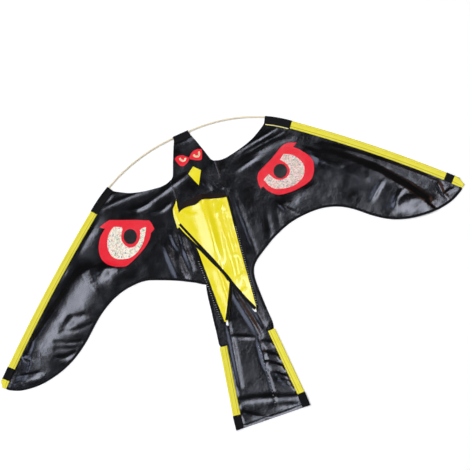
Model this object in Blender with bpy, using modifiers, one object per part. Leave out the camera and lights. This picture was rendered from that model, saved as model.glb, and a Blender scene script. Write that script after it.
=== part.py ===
"""Bird scarer kite: a hawk-shaped kite of coated cloth, laid on its back with the belly up.

The head points to +Y, the wings spread along X, and +Z is up. The origin is on the floor under the
middle of the kite's box. Distances down the kite are shares of its length, counted from the head.
"""

import math

import bmesh
import bpy
from mathutils import Vector

# Overall size
LENGTH = 0.792
SPAR_LENGTH = 0.737
SPAR_RADIUS = 0.0020
TAIL_ROD_RADIUS = 0.0015
CLOTH = 0.0004
GAP = 0.0003
LAYER = CLOTH + GAP

# Bow: straight in the ferrule, then bent up to the shoulder, and bent slightly from there on
FERRULE_LENGTH = 0.038
FERRULE_WALL = 0.0004
BEND_END = 0.278
SWEEP = math.radians(40.5)
BEND_POWER = 1.025
OUTER_SWEEP = math.radians(7.0)
SHOULDER = 0.217
PATH_STEP = 0.004

# Leading edge
SLEEVE_WIDTH = 0.0155
REAR_HALF_GAP = 0.00015
SHOULDER_PATCH_LENGTH = 0.071
TIP_PATCH_LENGTH = 0.022
TIP_PATCH_FROM_END = 0.026
POCKET_LENGTH = 0.025
POCKET_TAPER = 0.45
CAP_LENGTH = 0.008
CAP_WALL = 0.0002
TIP_CORNER_RUN = 0.0287
TIP_CORNER_OFFSET = 0.0182

# Body
BODY_HALF = 0.0565
BEND_X = 0.080
HEAD_HALF = 0.0200
HEAD_SLEEVE_DEPTH = 0.0160
FACE_END_SHARE = 0.2210
TAIL_BEND_SHARE = 0.6940
HEM = 0.0085
MOUTH_HEM = 0.0130
BINDING = 0.0070

# Belly seam: share of the length from the head, and share of the body's half width
SEAM_SHARES = (
    (0.1300, 1.000),
    (0.2576, 1.000),
    (0.3790, 0.911),
    (0.4670, 0.850),
    (0.6400, 0.735),
    (0.6940, 0.673),
    (0.9900, 0.920),
)

# Side of the head: share of the body's half width, and share of the length
HEAD_SHARES = (
    (0.400, 0.0215),
    (0.487, 0.0316),
    (0.584, 0.0505),
    (0.681, 0.0745),
    (0.796, 0.1023),
    (0.876, 0.1187),
    (0.938, 0.1263),
    (0.995, 0.1300),
    (0.995, 0.1500),
    (0.995, 0.1850),
    (0.995, 0.2210),
)

# Outer edge from the waist to the tail: share of the length, and share of the body's half width
WAIST_SHARES = (
    (0.4950, 1.290),
    (0.5025, 1.186),
    (0.5126, 1.115),
    (0.5278, 1.076),
    (0.5682, 1.080),
    (0.6200, 1.125),
    (0.6566, 1.168),
    (0.6940, 1.212),
    (0.7197, 1.239),
    (0.8460, 1.434),
    (0.9457, 1.588),
    (0.9900, 1.628),
)

# Rows of the back panel and of the side panels
BACK_ROW_SHARES = (0.2210, 0.2576, 0.3200, 0.3790, 0.4670, 0.5600)
SIDE_UPPER_SHARES = (0.1700, 0.2100, 0.2576, 0.3200, 0.3790, 0.4300, 0.4670, 0.4880)
SIDE_LOWER_SHARES = (0.4950, 0.5025, 0.5126, 0.5278, 0.5682, 0.6200, 0.6400, 0.6566, 0.6940)
NECK_SHARE = 0.1300

# Front edge of the wing from the bend line to the shoulder: shares of the span to the shoulder
FRONT_SHARES = (
    (0.000, 0.1376),
    (0.240, 0.1345),
    (0.480, 0.1250),
    (0.740, 0.1095),
)

# Trailing edge from the bend line to the tip: share of the half span, and share of the wing's
# depth, which is the kite's length at the bend line and follows the spar's reach at the tip
TIP_DROP_SHARE = 0.53754
TRAILING_INNER_SHARES = (
    (0.1333, 0.4880),
    (0.1750, 0.4660),
    (0.2200, 0.4455),
    (0.2700, 0.4285),
)
TRAILING_SHARES = (
    (0.3250, 0.4175),
    (0.3700, 0.4145),
    (0.4150, 0.4175),
    (0.4620, 0.4280),
    (0.5080, 0.4435),
    (0.5520, 0.4665),
    (0.5950, 0.4955),
    (0.6400, 0.5255),
    (0.6920, 0.5500),
    (0.7500, 0.5705),
    (0.8050, 0.5815),
    (0.8620, 0.5855),
    (0.9150, 0.5800),
    (0.9560, 0.5690),
)
CHORD_SHARES = (0.0, 0.04, 0.08, 0.13, 0.18, 0.24, 0.32, 0.42, 0.53, 0.65, 0.77, 0.88, 0.94, 1.0)

# Keel panels: reach to the left of the body's middle, as shares of the body's half width
KEEL_ROW_SHARES = (
    (0.2424, 0.2285, -1.097),
    (0.2576, 0.2430, -1.140),
    (0.2803, 0.2835, -1.285),
    (0.3220, 0.3220, -1.050),
    (0.3660, 0.3660, -0.828),
    (0.4100, 0.4100, -0.607),
    (0.4545, 0.4545, -0.368),
    (0.4990, 0.4990, -0.090),
    (0.5430, 0.5430, 0.150),
    (0.5870, 0.5870, 0.375),
    (0.6190, 0.6190, 0.563),
    (0.6400, 0.6400, 0.700),
)
MOUTH_ARCH = 0.0085
MOUTH_ARCH_ROWS = 5
FOLD_ROW_SHARES = (0.2374, 0.2576, 0.3030, 0.3535, 0.4040, 0.4545, 0.4990, 0.5200)
LOWER_EDGE_SHARES = (
    (0.5300, 0.130),
    (0.5366, 0.120),
    (0.5620, -0.015),
    (0.5920, -0.190),
    (0.6190, -0.360),
    (0.6400, -0.500),
)
UPPER_EDGE_SHARES = (
    (0.2374, 0.2340, -1.320),
    (0.2576, 0.2540, -1.380),
    (0.2800, 0.2780, -1.365),
    (0.3030, 0.3000, -1.395),
    (0.3280, 0.3270, -1.240),
    (0.3620, 0.3600, -1.010),
    (0.4040, 0.3950, -0.735),
    (0.4545, 0.4450, -0.440),
    (0.4990, 0.4880, -0.165),
    (0.5200, 0.5200, -0.060),
)
SPIKE_SHARE = (-1.060, 0.2010)
CREASE_INSET = 0.0010
KEEL_HUMP = 0.0025
KEEL_HUMP_WIDTH = 0.022
KEEL_HUMP_SHIFT = 0.008

# Scare eyes: centre of the pupil as shares of half span and length, radii, and the outlines'
# unit of length
EYE_PLACE_SHARE = (0.3275, 0.2525)
PUPIL_RADIUS = 0.0175
RING_RADIUS = 0.0250
EYE_LENGTH = 0.0850
EYE_FLAT_RADIUS = 0.100
EYE_OUTLINE_SHARES = (
    (0.724, 0.635),
    (0.606, 0.541),
    (0.735, 0.424),
    (0.882, 0.235),
    (0.971, 0.000),
    (0.994, -0.165),
    (0.953, -0.350),
    (0.870, -0.510),
    (0.700, -0.660),
    (0.450, -0.753),
    (0.190, -0.753),
    (-0.112, -0.665),
    (-0.350, -0.540),
    (-0.476, -0.420),
    (-0.594, -0.180),
    (-0.700, -0.180),
    (-0.665, 0.060),
    (-0.629, 0.259),
    (0.250, 0.640),
    (0.488, 0.741),
    (0.620, 0.725),
)
IRIS_OUTLINE_SHARES = (
    (0.135, 0.353),
    (0.288, 0.471),
    (0.470, 0.360),
    (0.618, 0.141),
    (0.690, -0.060),
    (0.676, -0.260),
    (0.565, -0.450),
    (0.240, -0.600),
    (0.010, -0.565),
    (-0.205, -0.440),
    (-0.370, -0.265),
    (-0.490, 0.000),
    (-0.329, 0.065),
)
IRIS_ARC_START = math.radians(190)
IRIS_ARC_END = math.radians(428)
IRIS_ARC_STEPS = 14

# Face: the outlines' unit of length, and places as shares of the kite's length
FACE_LENGTH = 0.0350
FACE_DROP_SHARE = 0.0855
FACE_EYE_SHARES = (
    (0.015, 0.000),
    (0.280, 0.230),
    (0.540, 0.395),
    (0.780, 0.395),
    (0.990, 0.280),
    (0.920, -0.040),
    (0.800, -0.310),
    (0.600, -0.430),
    (0.400, -0.350),
    (0.180, -0.190),
)
FACE_IRIS_SHARES = (
    (0.320, 0.100),
    (0.440, 0.100),
    (0.470, -0.080),
    (0.560, -0.140),
    (0.660, -0.060),
    (0.700, 0.150),
    (0.820, 0.150),
    (0.760, -0.140),
    (0.600, -0.270),
    (0.400, -0.180),
)
BEAK_HALF = 0.0160
BEAK_TOP_SHARE = 0.1190
BEAK_SIDE_SHARE = 0.1376
BEAK_TIP_SHARE = 0.1840

# Tail
TAIL_SLEEVE_WIDTH = 0.0155
TAIL_HALF = 0.092
TAIL_SKEW = 0.0075
TAIL_SKEW_BLEND = 0.020
NOTCH_SHARES = ((0.6400, 1.000), (0.6470, 0.800), (0.6580, 1.000))
TAIL_PANEL_SHARES = (0.6940, 0.7100, 0.7300, 0.7650, 0.8000, 0.8400, 0.8800, 0.9200, 0.9650, 0.9900)
TAIL_TOP_SHARES = (0.6940, 0.7080, 0.7187)
TAIL_SIDE_SHARES = (0.7207, 0.7700, 0.8200, 0.8800, 0.9457, 0.9900)
TAIL_SLEEVE_SHARES = (0.7207, 0.8460, 0.9457, 0.9800)
TAIL_POCKET_SHARES = (0.9457, 0.9800, 0.9900)
TAIL_ROD_SHARES = (0.7237, 0.8460, 0.9457, 0.9680)
TAIL_RIPPLE = 0.0030
TAIL_RIPPLE_WAVES = (7.0, 42.0)
TAIL_RIPPLE_RISE_SHARE = 0.0833
TAIL_RIPPLE_END_SHARE = 0.2700
TAIL_RIPPLE_FALL_SHARE = 0.0714
TAIL_RIPPLE_SIDE_SHARE = 0.6600
TAIL_RIPPLE_EDGE_SHARE = 0.2500

# Folds of the sail: their ends as shares of the half span and of the length
SWELL_LINE_SHARES = ((0.500, 0.345), (0.900, 0.525))
FOLD_LINE_SHARES = ((0.350, 0.104), (0.1325, 0.222))
SWELL = 0.0065
SWELL_WIDTH = 0.060
SWELL_END_SHARE = 0.6
TENSION_FOLD = 0.0045
TENSION_FOLD_WIDTH = 0.013
FLAT_FRONT = 0.006
FLAT_REAR = 0.018
FLAT_BLEND = 0.025

# Resolution
PROFILE_STEPS = 9
ROD_ROUND_COUNT = 2
TUBE_SIDES = 16

SPAR_Z = CLOTH + GAP + CLOTH + GAP + SPAR_RADIUS
TAIL_ROD_Z = CLOTH + GAP + CLOTH + GAP + TAIL_ROD_RADIUS
SIDES = (("left", -1), ("right", 1))


def clear_scene():
    for obj in list(bpy.data.objects):
        bpy.data.objects.remove(obj)


def new_collection(name):
    collection = bpy.data.collections.new(name)
    bpy.context.scene.collection.children.link(collection)
    return collection


def new_material(name, colour, roughness, metallic=0.0):
    material = bpy.data.materials.new(name)
    material.use_nodes = True
    shader = material.node_tree.nodes["Principled BSDF"]
    shader.inputs["Base Color"].default_value = (*colour, 1.0)
    shader.inputs["Roughness"].default_value = roughness
    shader.inputs["Metallic"].default_value = metallic
    material.diffuse_color = (*colour, 1.0)
    return material


clear_scene()
PARTS = new_collection("bird_scarer_kite")
BLACK_CLOTH = new_material("black coated cloth", (0.010, 0.010, 0.013), 0.32)
BLACK_TAPE = new_material("black binding tape", (0.014, 0.013, 0.014), 0.60)
YELLOW_CLOTH = new_material("yellow coated cloth", (0.87, 0.77, 0.03), 0.40)
YELLOW_TAPE = new_material("yellow sleeve tape", (0.90, 0.85, 0.16), 0.55)
RED_FILM = new_material("red film", (0.82, 0.03, 0.05), 0.35)
GLITTER_FILM = new_material("glitter film", (0.80, 0.77, 0.62), 0.25, 0.5)
BLACK_FILM = new_material("black film", (0.008, 0.008, 0.010), 0.25)
FIBREGLASS = new_material("ivory fibreglass", (0.84, 0.79, 0.66), 0.40)
BRASS = new_material("brass", (0.75, 0.55, 0.22), 0.30, 1.0)
VINYL = new_material("black vinyl", (0.02, 0.02, 0.02), 0.45)


def smooth(share):
    share = min(max(share, 0.0), 1.0)
    return share * share * (3.0 - 2.0 * share)


def table_value(table, key):
    """Reads a table of (key, value) pairs along straight runs."""
    for (k0, v0), (k1, v1) in zip(table, table[1:]):
        if key <= k1:
            return v0 + (v1 - v0) * max(key - k0, 0.0) / (k1 - k0)
    return table[-1][1]


def down(share):
    """Y of a place that lies this share of the length below the head."""
    return LENGTH * (0.5 - share)


def seam_half(share):
    return BODY_HALF * table_value(SEAM_SHARES, share)


def waist_half(share):
    return BODY_HALF * table_value(WAIST_SHARES, share)


def flat(level):
    return lambda point: level


def spar_path():
    """The right half of the spar as (distance, point, slope) along its centre line."""
    head_y = down(0.0) - CLOTH - GAP - FERRULE_WALL - GAP - SPAR_RADIUS
    place = Vector((0.0, head_y))
    straight = FERRULE_LENGTH / 2
    steps = round(SPAR_LENGTH / PATH_STEP)
    step = SPAR_LENGTH / steps
    path = []
    for index in range(steps + 1):
        distance = index * step
        bend = min(max(distance - straight, 0.0) / (BEND_END - straight), 1.0)
        outer = max(distance - BEND_END, 0.0) / (SPAR_LENGTH - BEND_END)
        slope = SWEEP * bend ** BEND_POWER + OUTER_SWEEP * outer
        path.append((distance, place.copy(), slope))
        place = place + Vector((math.cos(slope), -math.sin(slope))) * step
    return path


SPAR = spar_path()


def spar_at(distance):
    """Point and slope on the right spar, run on straight past its ends."""
    if distance >= SPAR[-1][0]:
        last, place, slope = SPAR[-1]
        along = Vector((math.cos(slope), -math.sin(slope)))
        return place + along * (distance - last), slope
    for (s0, p0, a0), (s1, p1, a1) in zip(SPAR, SPAR[1:]):
        if distance <= s1:
            share = (distance - s0) / (s1 - s0)
            return p0.lerp(p1, share), a0 + (a1 - a0) * share
    raise ValueError("distance lies outside the spar")


def behind_spar(distance, offset):
    """A point this far behind the spar's centre line, towards the sail."""
    place, slope = spar_at(distance)
    return place + Vector((-math.sin(slope), -math.cos(slope))) * offset


WING_TIP = spar_at(SPAR_LENGTH + POCKET_LENGTH)[0]
HALF_SPAN = WING_TIP.x
WING_DEPTH = (down(0.0) - WING_TIP.y) / TIP_DROP_SHARE


def add_object(name, data, material, pivot=None):
    """Links an object whose mesh is in world coordinates, under its joint's empty."""
    obj = bpy.data.objects.new(name, data)
    data.materials.append(material)
    PARTS.objects.link(obj)
    if pivot is not None:
        obj.parent = pivot
        obj.location = -pivot.location
    return obj


def add_pivot(name, location):
    pivot = bpy.data.objects.new(name, None)
    pivot.location = location
    PARTS.objects.link(pivot)
    return pivot


def give_thickness(obj, thickness):
    solidify = obj.modifiers.new("cloth", "SOLIDIFY")
    solidify.thickness = thickness
    solidify.offset = 1.0
    solidify.use_even_offset = True
    solidify.use_quality_normals = True


def mesh_from(name, bm):
    mesh = bpy.data.meshes.new(name)
    bm.to_mesh(mesh)
    bm.free()
    return mesh


def add_sheet(name, rows, shares, height, material, pivot=None, shape=None):
    """Cloth stretched between the two ends of each row. The underside follows the height."""
    bm = bmesh.new()
    last_row = len(rows) - 1
    last_column = len(shares) - 1
    bmesh.ops.create_grid(bm, x_segments=last_column, y_segments=last_row, size=1)
    for vert in bm.verts:
        column = round((vert.co.x + 1) / 2 * last_column)
        row = round((vert.co.y + 1) / 2 * last_row)
        start, end = rows[row]
        point = start.lerp(end, shares[column])
        if shape is not None:
            point = shape(row, column, point)
        vert.co = (point.x, point.y, height(point))
    bm.normal_update()
    if sum(face.normal.z for face in bm.faces) < 0:
        bmesh.ops.reverse_faces(bm, faces=bm.faces)
    obj = add_object(name, mesh_from(name, bm), material, pivot)
    obj.data.shade_smooth()
    give_thickness(obj, CLOTH)
    return obj


def even_shares(count):
    return [index / count for index in range(count + 1)]


def add_plate(name, points, level, material, pivot=None, hole=None):
    """A flat cut-out of film from its outline, with an optional hole."""
    curve = bpy.data.curves.new(name, "CURVE")
    curve.dimensions = "2D"
    curve.fill_mode = "BOTH"
    curve.extrude = CLOTH / 2
    for outline in [points] + ([hole] if hole else []):
        spline = curve.splines.new("POLY")
        spline.points.add(len(outline) - 1)
        for target, point in zip(spline.points, outline):
            target.co = (point.x, point.y, 0.0, 1.0)
        spline.use_cyclic_u = True
    obj = add_object(name, curve, material, pivot)
    obj.location.z += level + CLOTH / 2
    return obj


def add_rod(name, points, radius, material, pivot=None):
    curve = bpy.data.curves.new(name, "CURVE")
    curve.dimensions = "3D"
    curve.bevel_depth = radius
    curve.bevel_resolution = ROD_ROUND_COUNT
    curve.use_fill_caps = True
    spline = curve.splines.new("POLY")
    spline.points.add(len(points) - 1)
    for target, point in zip(spline.points, points):
        target.co = (*point, 1.0)
    return add_object(name, curve, material, pivot)


def sleeve_profile(radius, rear, half_gap):
    """Inner surface of a folded casing: round the rod in front, drawn flat to its rear seam."""
    points = []
    for index in range(PROFILE_STEPS + 1):
        angle = math.pi * (0.5 + index / PROFILE_STEPS)
        points.append((radius * math.cos(angle), radius * math.sin(angle)))
    bottom = -radius
    points.append((rear / 2, bottom))
    points.append((rear, bottom))
    points.append((rear, bottom + 2 * half_gap))
    return points


def add_casing(name, rings, profile, centre_z, material, pivot=None, end_taper=None):
    """Sweeps a casing's inner surface along rings of (place, rearward direction).

    With an end taper the last ring is closed, and drawn in towards its rear seam by that share.
    """
    rear = profile[-1][0]
    bottom = min(high for behind, high in profile)
    bm = bmesh.new()
    loops = []
    for index, (place, rearward) in enumerate(rings):
        taper = end_taper if end_taper and index == len(rings) - 1 else 0.0
        loop = []
        for behind, high in profile:
            flat_place = place + rearward * (behind + (rear - behind) * taper)
            level = centre_z + bottom + (high - bottom) * (1 - taper)
            loop.append(bm.verts.new((flat_place.x, flat_place.y, level)))
        loops.append(loop)
    for loop in loops:
        for index, vert in enumerate(loop):
            bm.edges.new((vert, loop[(index + 1) % len(loop)]))
    for first, second in zip(loops, loops[1:]):
        edges = []
        for loop in (first, second):
            for index, vert in enumerate(loop):
                edges.append(bm.edges.get((vert, loop[(index + 1) % len(loop)])))
        bmesh.ops.bridge_loops(bm, edges=edges)
    if end_taper is not None:
        bm.faces.new(loops[-1])
    bmesh.ops.recalc_face_normals(bm, faces=bm.faces)
    middle = sum((vert.co for vert in loops[0]), Vector()) / len(loops[0])
    bm.normal_update()
    side_face = loops[0][0].link_faces[0]
    if side_face.normal.dot(side_face.calc_center_median() - middle) < 0:
        bmesh.ops.reverse_faces(bm, faces=bm.faces)
    obj = add_object(name, mesh_from(name, bm), material, pivot)
    give_thickness(obj, CLOTH)
    return obj


def spar_rings(start, end, side, count):
    rings = []
    for index in range(count + 1):
        distance = start + (end - start) * index / max(count, 1)
        place, slope = spar_at(distance)
        rearward = Vector((-side * math.sin(slope), -math.cos(slope)))
        rings.append((Vector((side * place.x, place.y)), rearward))
    return rings


def spar_points(start, end, side, step):
    count = max(round((end - start) / step), 1)
    points = []
    for index in range(count + 1):
        place, slope = spar_at(start + (end - start) * index / count)
        points.append(Vector((side * place.x, place.y, SPAR_Z)))
    return points


def mirrored(point, side):
    return Vector((side * point.x, point.y))


def add_tube(name, length, inner, wall, centre, material, pivot=None):
    """A tube along X: an open cylinder of its bore, given a wall outwards."""
    bm = bmesh.new()
    bmesh.ops.create_cone(
        bm, cap_ends=False, segments=TUBE_SIDES, radius1=inner, radius2=inner, depth=length
    )
    for vert in bm.verts:
        vert.co = Vector((vert.co.z, vert.co.y, -vert.co.x)) + centre
    bmesh.ops.recalc_face_normals(bm, faces=bm.faces)
    face = bm.faces[:][0]
    if face.normal.dot(face.calc_center_median() - centre) < 0:
        bmesh.ops.reverse_faces(bm, faces=bm.faces)
    obj = add_object(name, mesh_from(name, bm), material, pivot)
    give_thickness(obj, wall)
    return obj


def build_head():
    rows = []
    for half_share, drop_share in HEAD_SHARES:
        half = BODY_HALF * half_share
        rows.append((Vector((-half, down(drop_share))), Vector((half, down(drop_share)))))
    add_sheet("head_panel", rows, even_shares(6), flat(0.0), BLACK_CLOTH)

    radius = SPAR_RADIUS + GAP + FERRULE_WALL + GAP
    head_place = SPAR[0][1]
    rearward = Vector((0.0, -1.0))
    rings = [(Vector((x, head_place.y)), rearward) for x in (-HEAD_HALF, 0.0, HEAD_HALF)]
    profile = sleeve_profile(radius, HEAD_SLEEVE_DEPTH - radius - LAYER, REAR_HALF_GAP)
    add_casing("head_sleeve", rings, profile, SPAR_Z, BLACK_TAPE)

    centre = Vector((0.0, head_place.y, SPAR_Z))
    bore = SPAR_RADIUS + GAP
    add_tube("spar_ferrule", FERRULE_LENGTH, bore, FERRULE_WALL, centre, BRASS)

    for name, side in SIDES:
        points = spar_points(GAP, SHOULDER - GAP / 2, side, PATH_STEP * 3)
        add_rod(f"{name}_bow", points, SPAR_RADIUS, FIBREGLASS)


def build_face():
    for name, side in SIDES:
        patch = []
        for across, up in FACE_EYE_SHARES:
            x = side * (FACE_LENGTH * across)
            patch.append(Vector((x, down(FACE_DROP_SHARE) + FACE_LENGTH * up)))
        add_plate(f"{name}_face_eye", patch, LAYER, RED_FILM)
        iris = []
        for across, up in FACE_IRIS_SHARES:
            x = side * (FACE_LENGTH * across)
            iris.append(Vector((x, down(FACE_DROP_SHARE) + FACE_LENGTH * up)))
        add_plate(f"{name}_face_iris", iris, LAYER * 2, GLITTER_FILM)
    beak = [
        Vector((0.0, down(BEAK_TOP_SHARE))),
        Vector((BEAK_HALF, down(BEAK_SIDE_SHARE))),
        Vector((0.0, down(BEAK_TIP_SHARE))),
        Vector((-BEAK_HALF, down(BEAK_SIDE_SHARE))),
    ]
    add_plate("beak", beak, LAYER, YELLOW_CLOTH)


def build_body():
    rows = []
    for share in BACK_ROW_SHARES:
        half = seam_half(share) - GAP / 2
        y = down(share) - (GAP if share == FACE_END_SHARE else 0.0)
        rows.append((Vector((-half, y)), Vector((half, y))))
    for share, half_share in NOTCH_SHARES:
        half = seam_half(share) * half_share - GAP / 2
        rows.append((Vector((-half, down(share))), Vector((half, down(share)))))
    half = seam_half(TAIL_BEND_SHARE) - GAP / 2
    y = down(TAIL_BEND_SHARE) + GAP / 2
    rows.append((Vector((-half, y)), Vector((half, y))))
    add_sheet("back_panel", rows, even_shares(6), flat(0.0), BLACK_CLOTH)

    front_share = FRONT_SHARES[0][1]
    for name, side in SIDES:
        rows = []
        seam_top = Vector((seam_half(NECK_SHARE) + GAP / 2, down(NECK_SHARE)))
        bend_top = Vector((BEND_X - GAP / 2, down(front_share)))
        rows.append((mirrored(seam_top, side), mirrored(bend_top, side)))
        for share in SIDE_UPPER_SHARES:
            seam = Vector((seam_half(share) + GAP / 2, down(share)))
            bend = Vector((BEND_X - GAP / 2, down(share)))
            rows.append((mirrored(seam, side), mirrored(bend, side)))
        for share in SIDE_LOWER_SHARES:
            y = down(share)
            if share == TAIL_BEND_SHARE:
                y += GAP / 2
            seam = Vector((seam_half(share) + GAP / 2, y))
            edge = Vector((waist_half(share), y))
            rows.append((mirrored(seam, side), mirrored(edge, side)))
        add_sheet(f"{name}_side_panel", rows, even_shares(3), flat(0.0), BLACK_CLOTH)


def trailing_point(half_share, drop_share):
    x = max(HALF_SPAN * half_share, BEND_X + GAP / 2)
    depth = LENGTH + (WING_DEPTH - LENGTH) * smooth((x - BEND_X) / (HALF_SPAN - BEND_X))
    return Vector((x, down(0.0) - depth * drop_share))


def sail_rows(side):
    """Chords of the sail from its front edge to its trailing edge, root to tip."""
    offset = SLEEVE_WIDTH + CLOTH * 2 + GAP * 2
    shoulder = behind_spar(SHOULDER + GAP, offset)
    rows = []
    for (along, drop), (half_share, trail) in zip(FRONT_SHARES, TRAILING_INNER_SHARES):
        x = BEND_X + GAP / 2 + (shoulder.x - BEND_X) * along
        rear_share = 0.0 if along == 0 else half_share
        rows.append((Vector((x, down(drop))), trailing_point(rear_share, trail)))
    trailing = [trailing_point(half_share, trail) for half_share, trail in TRAILING_SHARES]
    trailing.append(behind_spar(SPAR_LENGTH + TIP_CORNER_RUN, TIP_CORNER_OFFSET))
    for index, rear in enumerate(trailing):
        distance = SHOULDER + GAP + (SPAR_LENGTH - SHOULDER) * index / len(TRAILING_SHARES)
        rows.append((behind_spar(distance, offset), rear))
    return [(mirrored(front, side), mirrored(rear, side)) for front, rear in rows]


def span_place(shares, side):
    return Vector((side * HALF_SPAN * shares[0], down(shares[1])))


def eye_centre(side):
    return span_place(EYE_PLACE_SHARE, side)


def distance_to_run(point, start, end):
    along = end - start
    share = min(max((point - start).dot(along) / along.length_squared, 0.0), 1.0)
    return (point - start - along * share).length, share


def distance_to_edge(point, edge):
    return min(distance_to_run(point, start, end)[0] for start, end in zip(edge, edge[1:]))


def sail_height(side, rows):
    """Main folds: a long swell down the wing and a fold drawn from the shoulder to the neck."""
    inner, outer = [span_place(shares, side) for shares in SWELL_LINE_SHARES]
    shoulder, neck = [span_place(shares, side) for shares in FOLD_LINE_SHARES]
    front_edge = [front for front, rear in rows]
    trailing_edge = [rear for front, rear in rows]

    def height(point):
        away, share = distance_to_run(point, inner, outer)
        rise = SWELL * math.exp(-((away / SWELL_WIDTH) ** 2))
        rise *= SWELL_END_SHARE + (1 - SWELL_END_SHARE) * math.sin(math.pi * share)
        rise *= smooth((point - eye_centre(side)).length / EYE_FLAT_RADIUS - 1.0)
        away, share = distance_to_run(point, shoulder, neck)
        fold = TENSION_FOLD * math.exp(-((away / TENSION_FOLD_WIDTH) ** 2)) * (1 - share * share)
        room = smooth((distance_to_edge(point, front_edge) - FLAT_FRONT) / FLAT_BLEND)
        room *= smooth((distance_to_edge(point, trailing_edge) - FLAT_REAR) / FLAT_BLEND)
        return (rise + fold) * room * smooth((abs(point.x) - BEND_X) / FLAT_BLEND)

    return height


def build_wing(name, side):
    pivot = add_pivot(f"{name}_wing_pivot", Vector((side * BEND_X, 0.0, CLOTH / 2)))
    rows = sail_rows(side)
    height = sail_height(side, rows)
    add_sheet(f"{name}_wing_sail", rows, CHORD_SHARES, height, BLACK_CLOTH, pivot)

    sleeve = sleeve_profile(SPAR_RADIUS + GAP, SLEEVE_WIDTH, REAR_HALF_GAP)
    rings = spar_rings(SHOULDER + GAP * 2, BEND_END, side, 5)
    rings += spar_rings(BEND_END, SPAR_LENGTH - GAP, side, 10)[1:]
    add_casing(f"{name}_leading_sleeve", rings, sleeve, SPAR_Z, YELLOW_TAPE, pivot)

    radius = SPAR_RADIUS + GAP + CLOTH + GAP
    rear = SLEEVE_WIDTH + CLOTH + GAP
    patch = sleeve_profile(radius, rear, REAR_HALF_GAP + CLOTH + GAP)
    rings = spar_rings(SHOULDER, SHOULDER + SHOULDER_PATCH_LENGTH, side, 6)
    add_casing(f"{name}_shoulder_patch", rings, patch, SPAR_Z, BLACK_TAPE, pivot)
    end = SPAR_LENGTH - TIP_PATCH_FROM_END + TIP_PATCH_LENGTH
    rings = spar_rings(end - TIP_PATCH_LENGTH, end, side, 2)
    add_casing(f"{name}_tip_patch", rings, patch, SPAR_Z, BLACK_TAPE, pivot)
    rings = spar_rings(end + GAP, SPAR_LENGTH + CAP_LENGTH, side, 1)
    rings += spar_rings(SPAR_LENGTH + POCKET_LENGTH, SPAR_LENGTH + POCKET_LENGTH, side, 0)
    add_casing(f"{name}_tip_pocket", rings, patch, SPAR_Z, YELLOW_TAPE, pivot, POCKET_TAPER)

    points = spar_points(SHOULDER + GAP / 2, BEND_END, side, PATH_STEP * 3)
    points += spar_points(BEND_END, SPAR_LENGTH, side, PATH_STEP * 10)[1:]
    add_rod(f"{name}_wing_spar", points, SPAR_RADIUS, FIBREGLASS, pivot)
    tip = spar_points(SPAR_LENGTH + GAP, SPAR_LENGTH + CAP_LENGTH, side, CAP_LENGTH)
    add_rod(f"{name}_spar_cap", tip, SPAR_RADIUS + CAP_WALL, VINYL, pivot)

    binding = []
    for front, rear in rows:
        inward = (front - rear).normalized()
        binding.append((rear + inward * BINDING, rear + inward * GAP))
    add_sheet(f"{name}_trailing_binding", binding, even_shares(1), flat(LAYER), BLACK_TAPE, pivot)

    centre = eye_centre(side)
    patch = [eye_point(share, side) for share in EYE_OUTLINE_SHARES]
    add_plate(f"{name}_eye_patch", patch, LAYER, RED_FILM, pivot)
    iris = [eye_point(share, side) for share in IRIS_OUTLINE_SHARES]
    add_plate(f"{name}_eye_iris", iris + ring_arc(centre, side), LAYER * 2, GLITTER_FILM, pivot)
    pupil = []
    for index in range(TUBE_SIDES * 2):
        angle = math.pi * index / TUBE_SIDES
        pupil.append(centre + Vector((math.cos(angle), math.sin(angle))) * PUPIL_RADIUS)
    add_plate(f"{name}_eye_pupil", pupil, LAYER * 2, BLACK_FILM, pivot)
    return pivot


def eye_point(share, side):
    return eye_centre(side) + Vector((side * share[0], share[1])) * EYE_LENGTH


def ring_arc(centre, side):
    """The iris's inner edge, round the red ring, back to where its outline starts."""
    arc = []
    for index in range(IRIS_ARC_STEPS + 1):
        angle = IRIS_ARC_START + (IRIS_ARC_END - IRIS_ARC_START) * index / IRIS_ARC_STEPS
        offset = Vector((side * math.cos(angle), math.sin(angle))) * RING_RADIUS
        arc.append(centre + offset)
    return arc


def keel_height(point):
    """The right keel panel climbs from its seam over the fold beneath it."""
    rise = smooth((BODY_HALF - point.x) / BODY_HALF)
    hump = math.exp(-(((point.x + KEEL_HUMP_SHIFT) / KEEL_HUMP_WIDTH) ** 2))
    return LAYER + LAYER * 4 * rise + KEEL_HUMP * hump


def lifted(height):
    """One layer above a folded surface, with room for its facets."""
    return lambda point: height(point) + LAYER + GAP


def keel_hinge(name, side):
    """An empty half way down the keel's seam."""
    top = Vector((seam_half(SEAM_SHARES[1][0]) - GAP, down(SEAM_SHARES[1][0])))
    foot = Vector((seam_half(SEAM_SHARES[4][0]) - GAP, down(SEAM_SHARES[4][0])))
    middle = mirrored((top + foot) / 2, side)
    return add_pivot(name, Vector((middle.x, middle.y, LAYER + CLOTH / 2)))


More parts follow.
